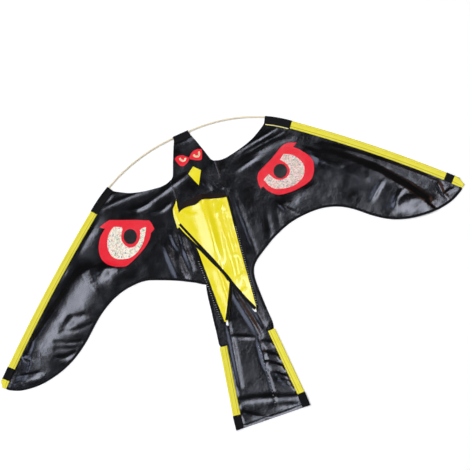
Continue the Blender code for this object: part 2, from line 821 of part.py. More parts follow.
def build_right_keel():
    pivot = keel_hinge("right_keel_pivot", 1)
    rows = []
    for seam_share, edge_share, reach in KEEL_ROW_SHARES:
        seam = Vector((seam_half(seam_share) - GAP, down(seam_share)))
        rows.append((seam, Vector((BODY_HALF * reach, down(edge_share)))))
    shares = even_shares(14)

    def arched(row, column, point):
        share = shares[column]
        lift = MOUTH_ARCH * 4 * share * (1 - share) * (1 - smooth(row / MOUTH_ARCH_ROWS))
        return point + Vector((0.0, lift))

    add_sheet("right_keel_panel", rows, shares, keel_height, YELLOW_CLOTH, pivot, arched)

    hem_rows = []
    for seam, edge in rows[2:-1]:
        inward = (seam - edge).normalized()
        hem_rows.append((edge + inward * GAP, edge + inward * HEM))
    add_sheet("right_rear_hem", hem_rows, even_shares(1), lifted(keel_height), BLACK_TAPE, pivot)

    mouth_rows = []
    for share in shares:
        top = arched(0, shares.index(share), rows[0][0].lerp(rows[0][1], share))
        mouth_rows.append((top, top - Vector((0.0, MOUTH_HEM))))
    height = lifted(keel_height)
    add_sheet("right_mouth_hem", mouth_rows, even_shares(2), height, BLACK_TAPE, pivot)
    return pivot


def build_left_keel():
    lower = keel_hinge("left_keel_pivot", -1)
    upper = add_pivot("left_keel_fold_pivot", Vector((0.0, lower.location.y, LAYER * 2 + CLOTH / 2)))

    rows = []
    for share in FOLD_ROW_SHARES:
        seam = Vector((-seam_half(share) + GAP, down(share)))
        rows.append((seam, Vector((-CREASE_INSET, down(share)))))
    for share, reach in LOWER_EDGE_SHARES:
        seam = Vector((-seam_half(share) + GAP, down(share)))
        rows.append((seam, Vector((BODY_HALF * reach, down(share)))))
    add_sheet("left_keel_lower", rows, even_shares(6), flat(LAYER), YELLOW_CLOTH, lower)
    hem_rows = []
    for seam, edge in rows[len(FOLD_ROW_SHARES) - 1 : -1]:
        inward = (seam - edge).normalized()
        hem_rows.append((edge + inward * GAP, edge + inward * HEM))
    height = flat(LAYER * 2)
    add_sheet("left_rear_hem_lower", hem_rows, even_shares(1), height, BLACK_TAPE, lower)
    seam, edge = rows[0]
    depth = Vector((0.0, -MOUTH_HEM))
    mouth = [(seam, seam + depth), (edge, edge + depth)]
    add_sheet("left_mouth_hem_lower", mouth, even_shares(1), height, BLACK_TAPE, lower)

    rows = []
    for fold_share, edge_share, reach in UPPER_EDGE_SHARES:
        fold = Vector((-CREASE_INSET, down(fold_share)))
        rows.append((fold, Vector((BODY_HALF * reach, down(edge_share)))))

    columns = even_shares(8)
    spike = Vector((BODY_HALF * SPIKE_SHARE[0], down(SPIKE_SHARE[1])))

    def pulled_out(row, column, point):
        if row == 0 and column == len(columns) - 1:
            return spike
        return point

    add_sheet("left_keel_upper", rows, columns, flat(LAYER * 3), YELLOW_CLOTH, upper, pulled_out)
    hem_rows = []
    for fold, edge in rows[3:-1]:
        inward = (fold - edge).normalized()
        hem_rows.append((edge + inward * GAP, edge + inward * HEM))
    height = flat(LAYER * 4)
    add_sheet("left_rear_hem_upper", hem_rows, even_shares(1), height, BLACK_TAPE, upper)
    fold, edge = rows[0]
    edge = fold.lerp(edge, columns[-2])
    mouth = [(fold, fold + depth), (edge, edge + depth)]
    add_sheet("left_mouth_hem_upper", mouth, even_shares(1), height, BLACK_TAPE, upper)


def skewed(point):
    """The tail is sewn slightly aslant: its right side hangs lower than its left."""
    below = down(TAIL_BEND_SHARE) - point.y
    shift = TAIL_SKEW * point.x / TAIL_HALF * smooth(below / TAIL_SKEW_BLEND)
    return Vector((point.x, point.y - shift))


def skewed_rows(rows):
    return [(skewed(start), skewed(end)) for start, end in rows]


def tail_rings(shares, side):
    """Rings of the tail's casing, along the outer edge of the tail."""
    inset = TAIL_ROD_RADIUS + GAP + CLOTH + GAP + CLOTH
    return [(tail_edge(share, side, inset), Vector((-side, 0.0))) for share in shares]


def tail_edge(share, side, inset):
    return skewed(Vector((side * (waist_half(share) - inset), down(share))))


def build_tail():
    bend_y = down(TAIL_BEND_SHARE)
    pivot = add_pivot("tail_pivot", Vector((0.0, bend_y, CLOTH / 2)))
    top = bend_y - GAP / 2
    rows = []
    for share in TAIL_PANEL_SHARES:
        half = seam_half(share) - GAP / 2
        y = top if share == TAIL_BEND_SHARE else down(share)
        rows.append((Vector((-half, y)), Vector((half, y))))
    columns = even_shares(12)

    def rippled(point):
        across = point.x / BODY_HALF
        along = (bend_y - point.y) / LENGTH
        fade = smooth(along / TAIL_RIPPLE_RISE_SHARE)
        fade *= smooth((TAIL_RIPPLE_END_SHARE - along) / TAIL_RIPPLE_FALL_SHARE)
        fade *= smooth((TAIL_RIPPLE_SIDE_SHARE - abs(across)) / TAIL_RIPPLE_EDGE_SHARE)
        wave = math.sin(across * TAIL_RIPPLE_WAVES[0] + along * TAIL_RIPPLE_WAVES[1])
        return TAIL_RIPPLE * fade * (1 + wave) / 2

    add_sheet("tail_panel", skewed_rows(rows), columns, rippled, BLACK_CLOTH, pivot)
    end = TAIL_PANEL_SHARES[-1]
    y = down(end)
    half = seam_half(end) - GAP
    hem = [
        (Vector((-half, y + HEM)), Vector((half, y + HEM))),
        (Vector((-half, y + GAP)), Vector((half, y + GAP))),
    ]
    add_sheet("tail_hem", skewed_rows(hem), even_shares(2), flat(LAYER), BLACK_TAPE, pivot)

    rod_inset = TAIL_ROD_RADIUS + GAP + CLOTH + GAP + CLOTH
    inset = rod_inset + TAIL_SLEEVE_WIDTH + LAYER * 2
    pocket_rear = TAIL_SLEEVE_WIDTH + CLOTH + GAP
    for name, side in SIDES:
        rows = []
        for share in TAIL_TOP_SHARES:
            y = top if share == TAIL_BEND_SHARE else down(share)
            seam = Vector((side * (seam_half(share) + GAP / 2), y))
            rows.append((seam, Vector((side * waist_half(share), y))))
        for share in TAIL_SIDE_SHARES:
            seam = Vector((side * (seam_half(share) + GAP / 2), down(share)))
            rows.append((seam, Vector((side * (waist_half(share) - inset), down(share)))))
        rows = skewed_rows(rows)
        add_sheet(f"{name}_tail_side", rows, even_shares(2), flat(0.0), BLACK_CLOTH, pivot)

        sleeve = sleeve_profile(TAIL_ROD_RADIUS + GAP, TAIL_SLEEVE_WIDTH, REAR_HALF_GAP)
        rings = tail_rings(TAIL_SLEEVE_SHARES, side)
        add_casing(f"{name}_tail_sleeve", rings, sleeve, TAIL_ROD_Z, YELLOW_TAPE, pivot)
        radius = TAIL_ROD_RADIUS + GAP + CLOTH + GAP
        pocket = sleeve_profile(radius, pocket_rear, REAR_HALF_GAP + CLOTH + GAP)
        rings = tail_rings(TAIL_POCKET_SHARES, side)
        add_casing(f"{name}_tail_pocket", rings, pocket, TAIL_ROD_Z, BLACK_TAPE, pivot, 0.0)
        points = []
        for share in TAIL_ROD_SHARES:
            place = tail_edge(share, side, rod_inset)
            points.append(Vector((place.x, place.y, TAIL_ROD_Z)))
        add_rod(f"{name}_tail_rod", points, TAIL_ROD_RADIUS, FIBREGLASS, pivot)


build_head()
build_face()
build_body()
for wing_name, wing_side in SIDES:
    build_wing(wing_name, wing_side)
build_right_keel()
build_left_keel()
build_tail()
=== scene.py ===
"""Bird scarer kite, dressed for its picture: a hawk of coated cloth on its back on a studio floor.

Tables of places are in millimetres: x across the kite, then the drop from the head to the tail.
"""

import math
from functools import partial

import bmesh
import bpy
import numpy as np
from mathutils import Euler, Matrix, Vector, noise


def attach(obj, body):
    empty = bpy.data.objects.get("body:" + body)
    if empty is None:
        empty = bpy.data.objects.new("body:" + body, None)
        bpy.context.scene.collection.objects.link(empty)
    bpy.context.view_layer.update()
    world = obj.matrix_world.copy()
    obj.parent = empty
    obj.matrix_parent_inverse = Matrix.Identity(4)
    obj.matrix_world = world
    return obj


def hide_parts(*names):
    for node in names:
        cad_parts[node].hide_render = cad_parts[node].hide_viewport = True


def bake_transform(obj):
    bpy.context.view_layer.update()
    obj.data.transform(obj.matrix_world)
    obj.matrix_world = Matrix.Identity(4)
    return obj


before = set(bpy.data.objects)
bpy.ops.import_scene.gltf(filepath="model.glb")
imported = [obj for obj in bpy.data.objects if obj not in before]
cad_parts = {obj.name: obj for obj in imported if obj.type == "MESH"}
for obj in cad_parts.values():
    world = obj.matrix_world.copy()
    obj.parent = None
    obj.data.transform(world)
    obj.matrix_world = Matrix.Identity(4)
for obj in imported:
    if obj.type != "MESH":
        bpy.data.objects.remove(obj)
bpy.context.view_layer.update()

MM = 0.001
HEAD_Y = 396.0
SIDES = (("left", -1), ("right", 1))

# Cloth as it is drawn: its cells, its thickness, the layers on it and the name of its map
CELL = 3.0
CLOTH = 0.4
FILM_LIFT = 0.7
TOP_FILM_LIFT = 1.2
CLOTH_MAP = "cloth"

# Rod and sleeves, as the kite is sewn
SPAR_LENGTH = 737.0
ROD_RADIUS = 2.0
SPAR_Z = 3.4
SPAR_DROP = 3.0
FERRULE_HALF = 19.0
BEND_END = 278.0
SWEEP = math.radians(40.5)
BEND_POWER = 1.025
OUTER_SWEEP = math.radians(7.0)
SHOULDER = 217.0
SHOULDER_PATCH = 71.0
TIP_PATCH_START = 711.0
# The left pocket has slipped outwards, so that more of the black tape shows
TIP_PATCH_END = {"left": 742.0, "right": 733.0}
POCKET_END = 762.0
SLEEVE_RADIUS = 2.7
SLEEVE_WIDTH = 15.5
SLEEVE_SEAMS = (14.2, 2.8)
WRAP_RADIUS = 3.4
WRAP_WIDTH = 16.5
CLOTH_TUCK = 12.5

# Hems and their stitches
HEM_STEP = 3.0
STITCH_STEP = 4.0
TRAILING_HEM_WIDTH = 6.0
TRAILING_STITCH = 4.6

# Neck, and the tail with its sleeves, pockets and hem
NECK_HALF = 56.5
NECK_DROP = 103.0
HEAD_END = 175.0
TAIL_START = 549.6
TAIL_END = 784.0
TAIL_HALF = 92.0
TAIL_SKEW = 7.5
TAIL_ROD_Z = 2.9
TAIL_SLEEVE = (571.0, 776.0)
TAIL_POCKET = (749.0, 784.0)
TAIL_SLEEVE_TOP = 556.0
TAIL_SLEEVE_RADIUS = 2.2
TAIL_WRAP_RADIUS = 2.9
TAIL_HEM = (-88.0, 88.0)
TAIL_HEM_DROP = 775.0
TAIL_HEM_WIDTH = 8.5

# Lines across the cloth at the wing and tail joints, and where the back cloth meets the tail cloth
WING_BEND = (72.0, 92.0)
TAIL_BEND = (536.0, 564.0)
SPLIT_DROP = 520.0


# Shapes


def smooth(share):
    share = np.clip(share, 0.0, 1.0)
    return share * share * (3.0 - 2.0 * share)


def through(points, at):
    """A smooth run through the points. at counts points, from 0 for the first."""
    points = np.asarray(points, float)
    last = len(points) - 1
    at = np.clip(np.asarray(at, float), 0, last)
    first = np.minimum(at.astype(int), last - 1)
    share = (at - first)[:, None]
    before, start = points[np.maximum(first - 1, 0)], points[first]
    end, after = points[first + 1], points[np.minimum(first + 2, last)]
    return 0.5 * (
        2 * start
        + (end - before) * share
        + (2 * before - 5 * start + 4 * end - after) * share**2
        + (3 * start - before - 3 * end + after) * share**3
    )


def even_path(points, step, curved=True):
    """The points joined by a run with a place every step."""
    points = np.asarray(points, float)
    fine = np.linspace(0, len(points) - 1, 40 * len(points))
    if curved:
        run = through(points, fine)
    else:
        run = np.stack([np.interp(fine, range(len(points)), column) for column in points.T], 1)
    length = np.concatenate([[0], np.cumsum(np.linalg.norm(np.diff(run, axis=0), axis=1))])
    count = max(round(length[-1] / step), 1)
    wanted = np.linspace(0, length[-1], count + 1)
    return np.stack([np.interp(wanted, length, column) for column in run.T], 1)


def side_normals(path):
    """Unit vectors to the right of the path's way, in x and drop."""
    along = np.gradient(path, axis=0)
    along /= np.linalg.norm(along, axis=1)[:, None]
    return np.stack([-along[:, 1], along[:, 0]], 1)


def joined(*strokes, step=2.5):
    """A closed outline from smooth strokes, each starting where the last one ends in a corner."""
    return np.vstack([even_path(stroke, step)[:-1] for stroke in strokes])


def mirrored(points, side):
    return [(side * x, drop) for x, drop in points]


def inside(points, outline):
    """Whether each point lies inside the closed outline."""
    x, drop = points.T
    found = np.zeros(len(points), bool)
    for (start_x, start), (end_x, end) in zip(outline, np.roll(outline, -1, axis=0)):
        if start != end:
            spans = (start > drop) != (end > drop)
            found ^= spans & (x < (end_x - start_x) * (drop - start) / (end - start) + start_x)
    return found


def nearest_on(points, outline):
    """The nearest place on the closed outline to each point, and how far off it is."""
    best = np.full(len(points), 1e9)
    found = points.copy()
    for start, end in zip(outline, np.roll(outline, -1, axis=0)):
        run = end - start
        share = np.clip((points - start) @ run / max(run @ run, 1e-9), 0, 1)
        places = start + share[:, None] * run
        gap = np.linalg.norm(points - places, axis=1)
        nearer = gap < best
        best = np.where(nearer, gap, best)
        found = np.where(nearer[:, None], places, found)
    return found, best


def fold_heights(x, drop, folds):
    """Height of the folds at each place: a soft ridge along each line, fading at its ends."""
    total = np.zeros_like(x)
    for height, right_width, left_width, *line in folds:
        best = np.full_like(x, 1e9)
        signed = np.zeros_like(x)
        share = np.zeros_like(x)
        pieces = len(line) - 1
        for index, (start, end) in enumerate(zip(line, line[1:])):
            run = np.subtract(end, start)
            across, away = x - start[0], drop - start[1]
            part = np.clip((across * run[0] + away * run[1]) / (run @ run), 0, 1)
            gap = np.hypot(across - part * run[0], away - part * run[1])
            nearer = gap < best
            best = np.where(nearer, gap, best)
            turn = np.sign(run[0] * away - run[1] * across)
            signed = np.where(nearer, gap * turn, signed)
            share = np.where(nearer, (index + part) / pieces, share)
        width = np.where(signed > 0, right_width, left_width)
        fade = np.sqrt(np.clip(np.sin(np.pi * (0.08 + 0.84 * share)), 0, 1))
        total += height * fade * np.exp(-((signed / width) ** 2))
    return total


def ripple(x, drop, size, seed):
    """Gentle unevenness from noise, about one unit high."""
    return np.array([noise.noise(Vector((a / size, b / size, seed))) for a, b in zip(x, drop)])


def spar_path():
    """The right half of the bent rod: distance, x, drop and slope."""
    x, drop, distance = 0.0, SPAR_DROP, 0.0
    rows = []
    while distance <= SPAR_LENGTH + 40:
        bend = min(max(distance - FERRULE_HALF, 0.0) / (BEND_END - FERRULE_HALF), 1.0)
        outer = min(max(distance - BEND_END, 0.0) / (SPAR_LENGTH - BEND_END), 1.0)
        slope = SWEEP * bend**BEND_POWER + OUTER_SWEEP * outer
        rows.append((distance, x, drop, slope))
        x += math.cos(slope)
        drop += math.sin(slope)
        distance += 1.0
    return np.array(rows)


SPAR = spar_path()


def above(rise, lift):
    """The height of what lies this far above another layer."""
    return lambda x, drop: rise(x, drop) + lift


def flat_at(level):
    return lambda x, drop: np.full_like(x, level)


def behind_spar(distance, behind, side):
    """Places this far behind the rod's centre line, towards the sail."""
    x = np.interp(distance, SPAR[:, 0], SPAR[:, 1])
    drop = np.interp(distance, SPAR[:, 0], SPAR[:, 2])
    slope = np.interp(distance, SPAR[:, 0], SPAR[:, 3])
    return side * (x - np.sin(slope) * behind), drop + np.cos(slope) * behind


# Folds of the black cloth

FOLDS = (
    # Each: height, widths on its two sides, then its ridge, drawn to the right or towards the tail
    # Left wing: the long swell beside the sleeve, its wrinkles and the tucks at the tip
    (7.8, 44, 14, (-508, 384), (-490, 355), (-449, 324), (-399, 288), (-360, 254), (-334, 238), (-312, 236)),
    (3.6, 24, 8, (-340, 180), (-306, 145), (-270, 117)),
    (3.2, 18, 12, (-296, 262), (-270, 250), (-244, 256)),
    (1.8, 12, 10, (-412, 352), (-385, 338), (-355, 345)),
    (0.9, 7, 6, (-421, 360), (-389, 369), (-351, 371)),
    (1.1, 5, 5, (-441, 377), (-415, 392), (-384, 403)),
    (1.0, 5, 5, (-447, 394), (-424, 404), (-398, 413)),
    (1.8, 8, 5, (-450, 418), (-430, 424), (-405, 422)),
    (2.6, 6, 14, (-550, 350), (-532, 370), (-520, 390)),
    (1.9, 8, 4, (-550, 421), (-525, 430), (-500, 434)),
    (1.0, 4, 4, (-566, 437), (-536, 437), (-510, 441)),
    # Left side: folds drawn from the shoulder and the neck, and lengthwise ones beside the belly
    (1.3, 6, 4, (-208, 68), (-177, 80), (-150, 90)),
    (1.4, 6, 4, (-256, 96), (-203, 96), (-150, 98), (-96, 104)),
    (1.3, 6, 6, (-165, 143), (-120, 134), (-70, 122), (-20, 108)),
    (1.3, 6, 5, (-178, 134), (-150, 138), (-128, 141)),
    (1.2, 6, 5, (-122, 165), (-100, 168), (-78, 160)),
    (2.2, 8, 9, (-118, 262), (-117, 300), (-112, 352)),
    (1.6, 7, 7, (-95, 236), (-94, 262), (-88, 288)),
    (2.0, 9, 9, (-99, 300), (-100, 335), (-96, 366)),
    (1.8, 7, 7, (-74, 240), (-77, 290), (-74, 345)),
    # Right wing: the valley beside the sleeve, the broad swell, a crumpled streak and the full lobe
    (8.8, 46, 12, (316, 208), (368, 258), (420, 314), (468, 382), (498, 428)),
    (2.4, 14, 8, (316, 184), (370, 226), (430, 275), (480, 325), (520, 368), (545, 400)),
    (1.3, 6, 6, (283, 198), (310, 230), (340, 260)),
    (0.8, 5, 5, (345, 272), (368, 296), (388, 320)),
    (1.8, 8, 4, (383, 368), (402, 354), (419, 342)),
    (1.7, 7, 5, (430, 409), (440, 395), (456, 385)),
    (3.4, 14, 16, (424, 412), (455, 414), (485, 425), (512, 441)),
    (1.4, 4, 4, (542, 403), (545, 427), (553, 447)),
    (1.0, 4, 4, (548, 434), (564, 430), (577, 431)),
    # Right side: folds drawn from the shoulder and the neck, and the crease beside the belly
    (0.9, 4, 5, (115, 107), (150, 102), (185, 97), (222, 92)),
    (0.7, 3, 4, (135, 117), (180, 113), (235, 109)),
    (1.1, 12, 9, (105, 140), (150, 132), (200, 126), (250, 130)),
    (0.9, 6, 5, (98, 153), (130, 147), (165, 141)),
    (1.0, 6, 6, (27, 116), (35, 140), (48, 169), (60, 189)),
    (1.0, 6, 6, (14, 138), (21, 155), (26, 170)),
    (0.9, 5, 8, (76, 205), (78, 260), (80, 320), (82, 385)),
    (1.4, 6, 8, (172, 277), (183, 300), (204, 328)),
    (1.1, 24, 14, (196, 278), (225, 271), (262, 279)),
    (0.6, 7, 7, (137, 290), (132, 330), (124, 365)),
    (0.6, 7, 7, (160, 283), (160, 310), (156, 336)),
    # Back and tail: long slanting folds, tucks beside the right sleeve, and the swells at the end
    (2.4, 9, 7, (2, 445), (12, 490), (24, 545), (29, 574)),
    (1.7, 7, 8, (24, 455), (34, 495), (42, 530), (48, 562)),
    (1.9, 5, 5, (-28, 552), (-8, 564), (13, 576)),
    (1.9, 8, 8, (24, 582), (24, 620), (22, 662)),
    (1.5, 6, 7, (-34, 515), (-38, 560), (-44, 610), (-51, 675)),
    (2.3, 8, 5, (37, 596), (48, 606), (58, 616)),
    (2.5, 9, 5, (36, 627), (50, 642), (63, 656)),
    (2.8, 10, 5, (31, 650), (47, 665), (66, 683)),
    (2.3, 8, 4, (38, 682), (54, 697), (67, 709)),
    (2.1, 7, 4, (42, 702), (57, 713), (70, 725)),
    (1.9, 6, 4, (50, 718), (63, 731), (71, 740)),
    (0.9, 3, 3, (20, 640), (19, 700), (17, 757)),
    (2.1, 9, 8, (-66, 710), (-30, 720), (10, 735), (45, 751), (66, 761)),
    (2.0, 8, 7, (-62, 742), (-45, 759), (-20, 775)),
    (1.6, 8, 8, (8, 757), (40, 768), (70, 782)),
)


# The middle of a scare eye and how far it reaches, across the kite and along it
EYE_MIDDLE = (205.0, 203.0)
EYE_REACH = (78.0, 68.0)
# The most that the black cloth rises over the floor
MOST_RISE = 12.0


def eye_room(x, drop):
    """1 where the cloth is free, and 0 under a scare eye, whose stiff patch keeps it flat."""
    away = np.hypot((np.abs(x) - EYE_MIDDLE[0]) / EYE_REACH[0], (drop - EYE_MIDDLE[1]) / EYE_REACH[1])
    return smooth((away - 0.75) / 0.45)


def sleeve_room(x, drop):
    """0 inside the sleeve along the rod, and 1 further back."""
    nearest = np.full_like(x, 1e9)
    for spar_x, spar_drop in SPAR[int(SHOULDER) :: 12, 1:3]:
        gap = np.hypot(np.abs(x) - spar_x, drop - spar_drop)
        nearest = np.minimum(nearest, gap)
    return smooth((nearest - WRAP_WIDTH) / 10.0)


# Where the keel lies on the black cloth and holds it flat
KEEL_COVER = np.array(
    (
        (-60, 157), (-70, 170), (-78, 185), (-81, 235), (-64, 264), (-54, 290), (-49, 370), (-43, 507),
        (-28, 508), (7, 428), (13, 428), (43, 510), (50, 370), (55, 290), (61, 204), (60, 186), (40, 178),
        (0, 171), (-55, 172),
    ),
    float,
)


def keel_room(x, drop):
    """The most that the cloth may rise, in millimetres: little under the keel."""
    places = np.stack([x, drop], 1)
    gap = nearest_on(places, KEEL_COVER)[1]
    gap = np.where(inside(places, KEEL_COVER), 0.0, gap)
    return 0.3 + MOST_RISE * smooth((gap - 0.5) / 11.0)


def cloth_rise(x, drop):
    """Height of the black cloth over the floor, in millimetres."""
    folds = fold_heights(x, drop, FOLDS)
    wide = 0.6 * (ripple(x, drop, 62.0, 1.0) + 0.3) + 0.18 * ripple(x, drop, 21.0, 5.0)
    wide *= 1.0 - 0.65 * smooth((drop - 430.0) / 70.0)
    room = sleeve_room(x, drop)
    rise = (folds * eye_room(x, drop) + np.maximum(wide, 0.0)) * room
    rise = np.clip(rise, 0.0, np.minimum(keel_room(x, drop), MOST_RISE))
    return rise + 0.25 + 0.9 * (1 - room)


# Making pieces


def make_sheet(name, columns, rows, place, thickness=CLOTH, closed=False):
    """A grid of cloth, whose corners go where place puts them: x, drop and height in millimetres."""
    bm = bmesh.new()
    wide, long = len(columns) - 1, len(rows) - 1
    bmesh.ops.create_grid(bm, x_segments=wide, y_segments=long, size=0.5)
    shares = np.array([vert.co[:2] for vert in bm.verts]) + 0.5
    across = np.asarray(columns, float)[np.rint(shares[:, 0] * wide).astype(int)]
    along = np.asarray(rows, float)[np.rint(shares[:, 1] * long).astype(int)]
    x, drop, height = place(across, along)
    places = np.stack([x, HEAD_Y - drop, height], 1) * MM
    for vert, point in zip(bm.verts, places):
        vert.co = point
    layer = bm.loops.layers.uv.new(CLOTH_MAP)
    marks = np.stack([across, along], 1)
    bm.verts.index_update()
    for face in bm.faces:
        for loop in face.loops:
            loop[layer].uv = marks[loop.vert.index]
    if closed:
        bmesh.ops.remove_doubles(bm, verts=bm.verts, dist=1e-6)
        bmesh.ops.recalc_face_normals(bm, faces=bm.faces)
    bm.normal_update()
    if not closed and sum(face.normal.z for face in bm.faces) < 0:
        bmesh.ops.reverse_faces(bm, faces=bm.faces)
    return finish_cloth(name, bm, thickness, -1.0 if closed else 1.0)


def finish_cloth(name, bm, thickness, offset=1.0):
    """Gives the sheet its thickness. Its rim stays crisp, so that sheets that meet look like one."""
    for edge in bm.edges:
        edge.smooth = not edge.is_boundary
    obj = finish_mesh(name, bm)
    if thickness:
        wall = obj.modifiers.new("cloth", "SOLIDIFY")
        wall.thickness = thickness * MM
        wall.offset = offset
    return obj


def cut_cloth(name, outline, height, cell=CELL, holes=()):
    """Cloth cut to an outline: a grid loses its cells outside, and its rim is drawn to the line."""
    outline = np.asarray(outline, float)
    low, size = outline.min(axis=0), np.ptp(outline, axis=0)
    count = np.ceil(size / cell).astype(int)
    bm = bmesh.new()
    bmesh.ops.create_grid(bm, x_segments=int(count[0]), y_segments=int(count[1]), size=0.5)
    for vert in bm.verts:
        vert.co.xy = low + (np.array(vert.co.xy) + 0.5) * size
    centres = np.array([face.calc_center_median()[:2] for face in bm.faces])
    lines = [outline] + [np.asarray(hole, float) for hole in holes]
    kept = inside(centres, outline)
    for line in lines[1:]:
        kept &= ~inside(centres, line)
    bmesh.ops.delete(bm, geom=[face for face, keep in zip(bm.faces, kept) if not keep], context="FACES")

    rim = [vert for vert in bm.verts if vert.is_boundary]
    places = np.array([vert.co[:2] for vert in rim])
    drawn = [nearest_on(places, line) for line in lines]
    choice = np.argmin([gap for found, gap in drawn], axis=0)
    for index, vert in enumerate(rim):
        vert.co.xy = drawn[choice[index]][0][index]
    for line in lines:
        before, after = line - np.roll(line, 1, axis=0), np.roll(line, -1, axis=0) - line
        lengths = np.linalg.norm(before, axis=1) * np.linalg.norm(after, axis=1)
        cosine = np.sum(before * after, axis=1) / lengths
        for corner in line[cosine < 0.8]:
            places = np.array([vert.co[:2] for vert in rim])
            rim[int(np.argmin(np.linalg.norm(places - corner, axis=1)))].co.xy = corner
    beside = {edge.other_vert(vert) for vert in rim for edge in vert.link_edges} - set(rim)
    for _ in range(2):
        bmesh.ops.smooth_vert(bm, verts=list(beside), factor=0.5, use_axis_x=True, use_axis_y=True)

    places = np.array([vert.co[:2] for vert in bm.verts])
    levels = height(places[:, 0], places[:, 1])
    for vert, (x, drop), level in zip(bm.verts, places, levels):
        vert.co = (x * MM, (HEAD_Y - drop) * MM, level * MM)
    bmesh.ops.reverse_faces(bm, faces=bm.faces)
    return finish_cloth(name, bm, CLOTH)


def finish_mesh(name, bm):
    area = sum(face.calc_area() for face in bm.faces)
    mesh = bpy.data.meshes.new(name)
    bm.to_mesh(mesh)
    bm.free()
    mesh.shade_smooth()
    obj = bpy.data.objects.new(name, mesh)
    bpy.context.scene.collection.objects.link(obj)
    obj["area"] = area
    return obj


def make_band(name, path, width, height, lift=0.6, crown=0.25, across=4):
    """A strip of tape or hem along a path, on its right side, lying on what height says."""
    path = np.asarray(path, float)
    normals = side_normals(path)
    marks = np.arange(len(path))
    widths = np.broadcast_to(width, len(path))

    def place(index, share):
        index = index.astype(int)
        point = path[index] + normals[index] * (widths[index] * share)[:, None]
        bulge = crown * (1 - (2 * share - 1) ** 2)
        return point[:, 0], point[:, 1], height(point[:, 0], point[:, 1]) + lift + bulge

    return make_sheet(name, marks, np.linspace(0, 1, across + 1), place)


def sleeve_profile(radius, width, rear_low, rear_high):
    """Round the rod in front, then drawn flat to the rear seam: how far behind, and how high."""
    points = []
    for step in range(13):
        angle = math.radians(270 - 180 * step / 12)
        points.append((radius * math.cos(angle), radius * math.sin(angle)))
    for share in (0.15, 0.3, 0.45, 0.6, 0.75, 0.9, 1.0):
        dip = 0.35 * math.sin(math.pi * share) * radius / SLEEVE_RADIUS
        points.append((width * share, radius + (rear_high - radius) * share - dip))
    for share in (1.0, 0.66, 0.33, 0.1):
        points.append((width * share, -radius + (rear_low + radius) * share))
    points.append(points[0])
    return np.array(points)


def make_casing(name, profile, distances, place, centre, thickness=CLOTH, shrink=None):
    """A folded casing swept along a run. place gives x and drop for a distance and an offset."""
    marks = np.arange(len(profile))
    top = profile[:, 1].min()

    def put(distance, index):
        behind, high = profile[index.astype(int)].T
        if shrink is not None:
            scale = shrink(distance)
            behind = behind * scale[0] + scale[1]
            high = top + (high - top) * scale[2]
        x, drop = place(distance, behind)
        return x, drop, centre + high

    return make_sheet(name, distances, marks, put, thickness, closed=True)


def make_rod(name, distances, radius, place, centre):
    angles = np.linspace(0, 2 * math.pi, 13)
    profile = np.stack([radius * np.cos(angles), radius * np.sin(angles)], 1)
    return make_casing(name, profile, distances, place, centre, thickness=0)


# The stitches made so far, by the group and the thread they belong to
THREADS = {}


def stitch_row(group, path, height, pitch=4.2, lift=0.75, length=2.7, girth=0.32, lean=0.0):
    """Adds a row of stitches to its group's mesh, each turned by lean from the path."""
    if group not in THREADS:
        THREADS[group] = bmesh.new()
    bm = THREADS[group]
    run = even_path(path, pitch, curved=False)
    middles = (run[1:] + run[:-1]) / 2
    ways = run[1:] - run[:-1]
    levels = height(middles[:, 0], middles[:, 1]) + lift
    for (x, drop), (way_x, way_drop), level in zip(middles, ways, levels):
        made = bmesh.ops.create_icosphere(bm, subdivisions=1, radius=1.0)
        turn = math.atan2(-way_drop, way_x) + lean
        cosine, sine = math.cos(turn), math.sin(turn)
        for vert in made["verts"]:
            along, side = vert.co.x * length / 2, vert.co.y * girth
            vert.co = (
                (x + along * cosine - side * sine) * MM,
                (HEAD_Y - drop + along * sine + side * cosine) * MM,
                (level + vert.co.z * girth) * MM,
            )


# Materials

# The sockets of a Mix node that hold its two colours, and the one that gives their mix
FIRST, SECOND, MIXED = 6, 7, 2


def colour(code):
    """An sRGB hex colour as linear red, green, blue and alpha."""
    values = [int(code[place : place + 2], 16) / 255 for place in (1, 3, 5)]
    linear = [v / 12.92 if v <= 0.04045 else ((v + 0.055) / 1.055) ** 2.4 for v in values]
    return (*linear, 1.0)


def noise_scale(size):
    """The scale of a noise or cell pattern, from the size of its patches in millimetres."""
    return 1 / (size * MM)


def wave_scale(spacing):
    """The scale of a wave pattern, from the distance between its bands in millimetres."""
    return math.pi / 10 / (spacing * MM)


def own_material(name):
    """A new material and its node tree, still empty."""
    material = bpy.data.materials.new(name)
    material.use_nodes = True
    material.node_tree.nodes.clear()
    return material, material.node_tree


def add_node(tree, kind, inputs=None, **settings):
    """Adds a node, sets it up, and sets or links its inputs by name or number."""
    node = tree.nodes.new(kind)
    for key, value in settings.items():
        setattr(node, key, value)
    for key, value in (inputs or {}).items():
        if isinstance(value, bpy.types.NodeSocket):
            tree.links.new(value, node.inputs[key])
        else:
            node.inputs[key].default_value = value
    return node


def finish_material(material, inputs):
    """Gives the material its one shader."""
    shader = add_node(material.node_tree, "ShaderNodeBsdfPrincipled", inputs)
    add_node(material.node_tree, "ShaderNodeOutputMaterial", {"Surface": shader.outputs[0]})
    return material


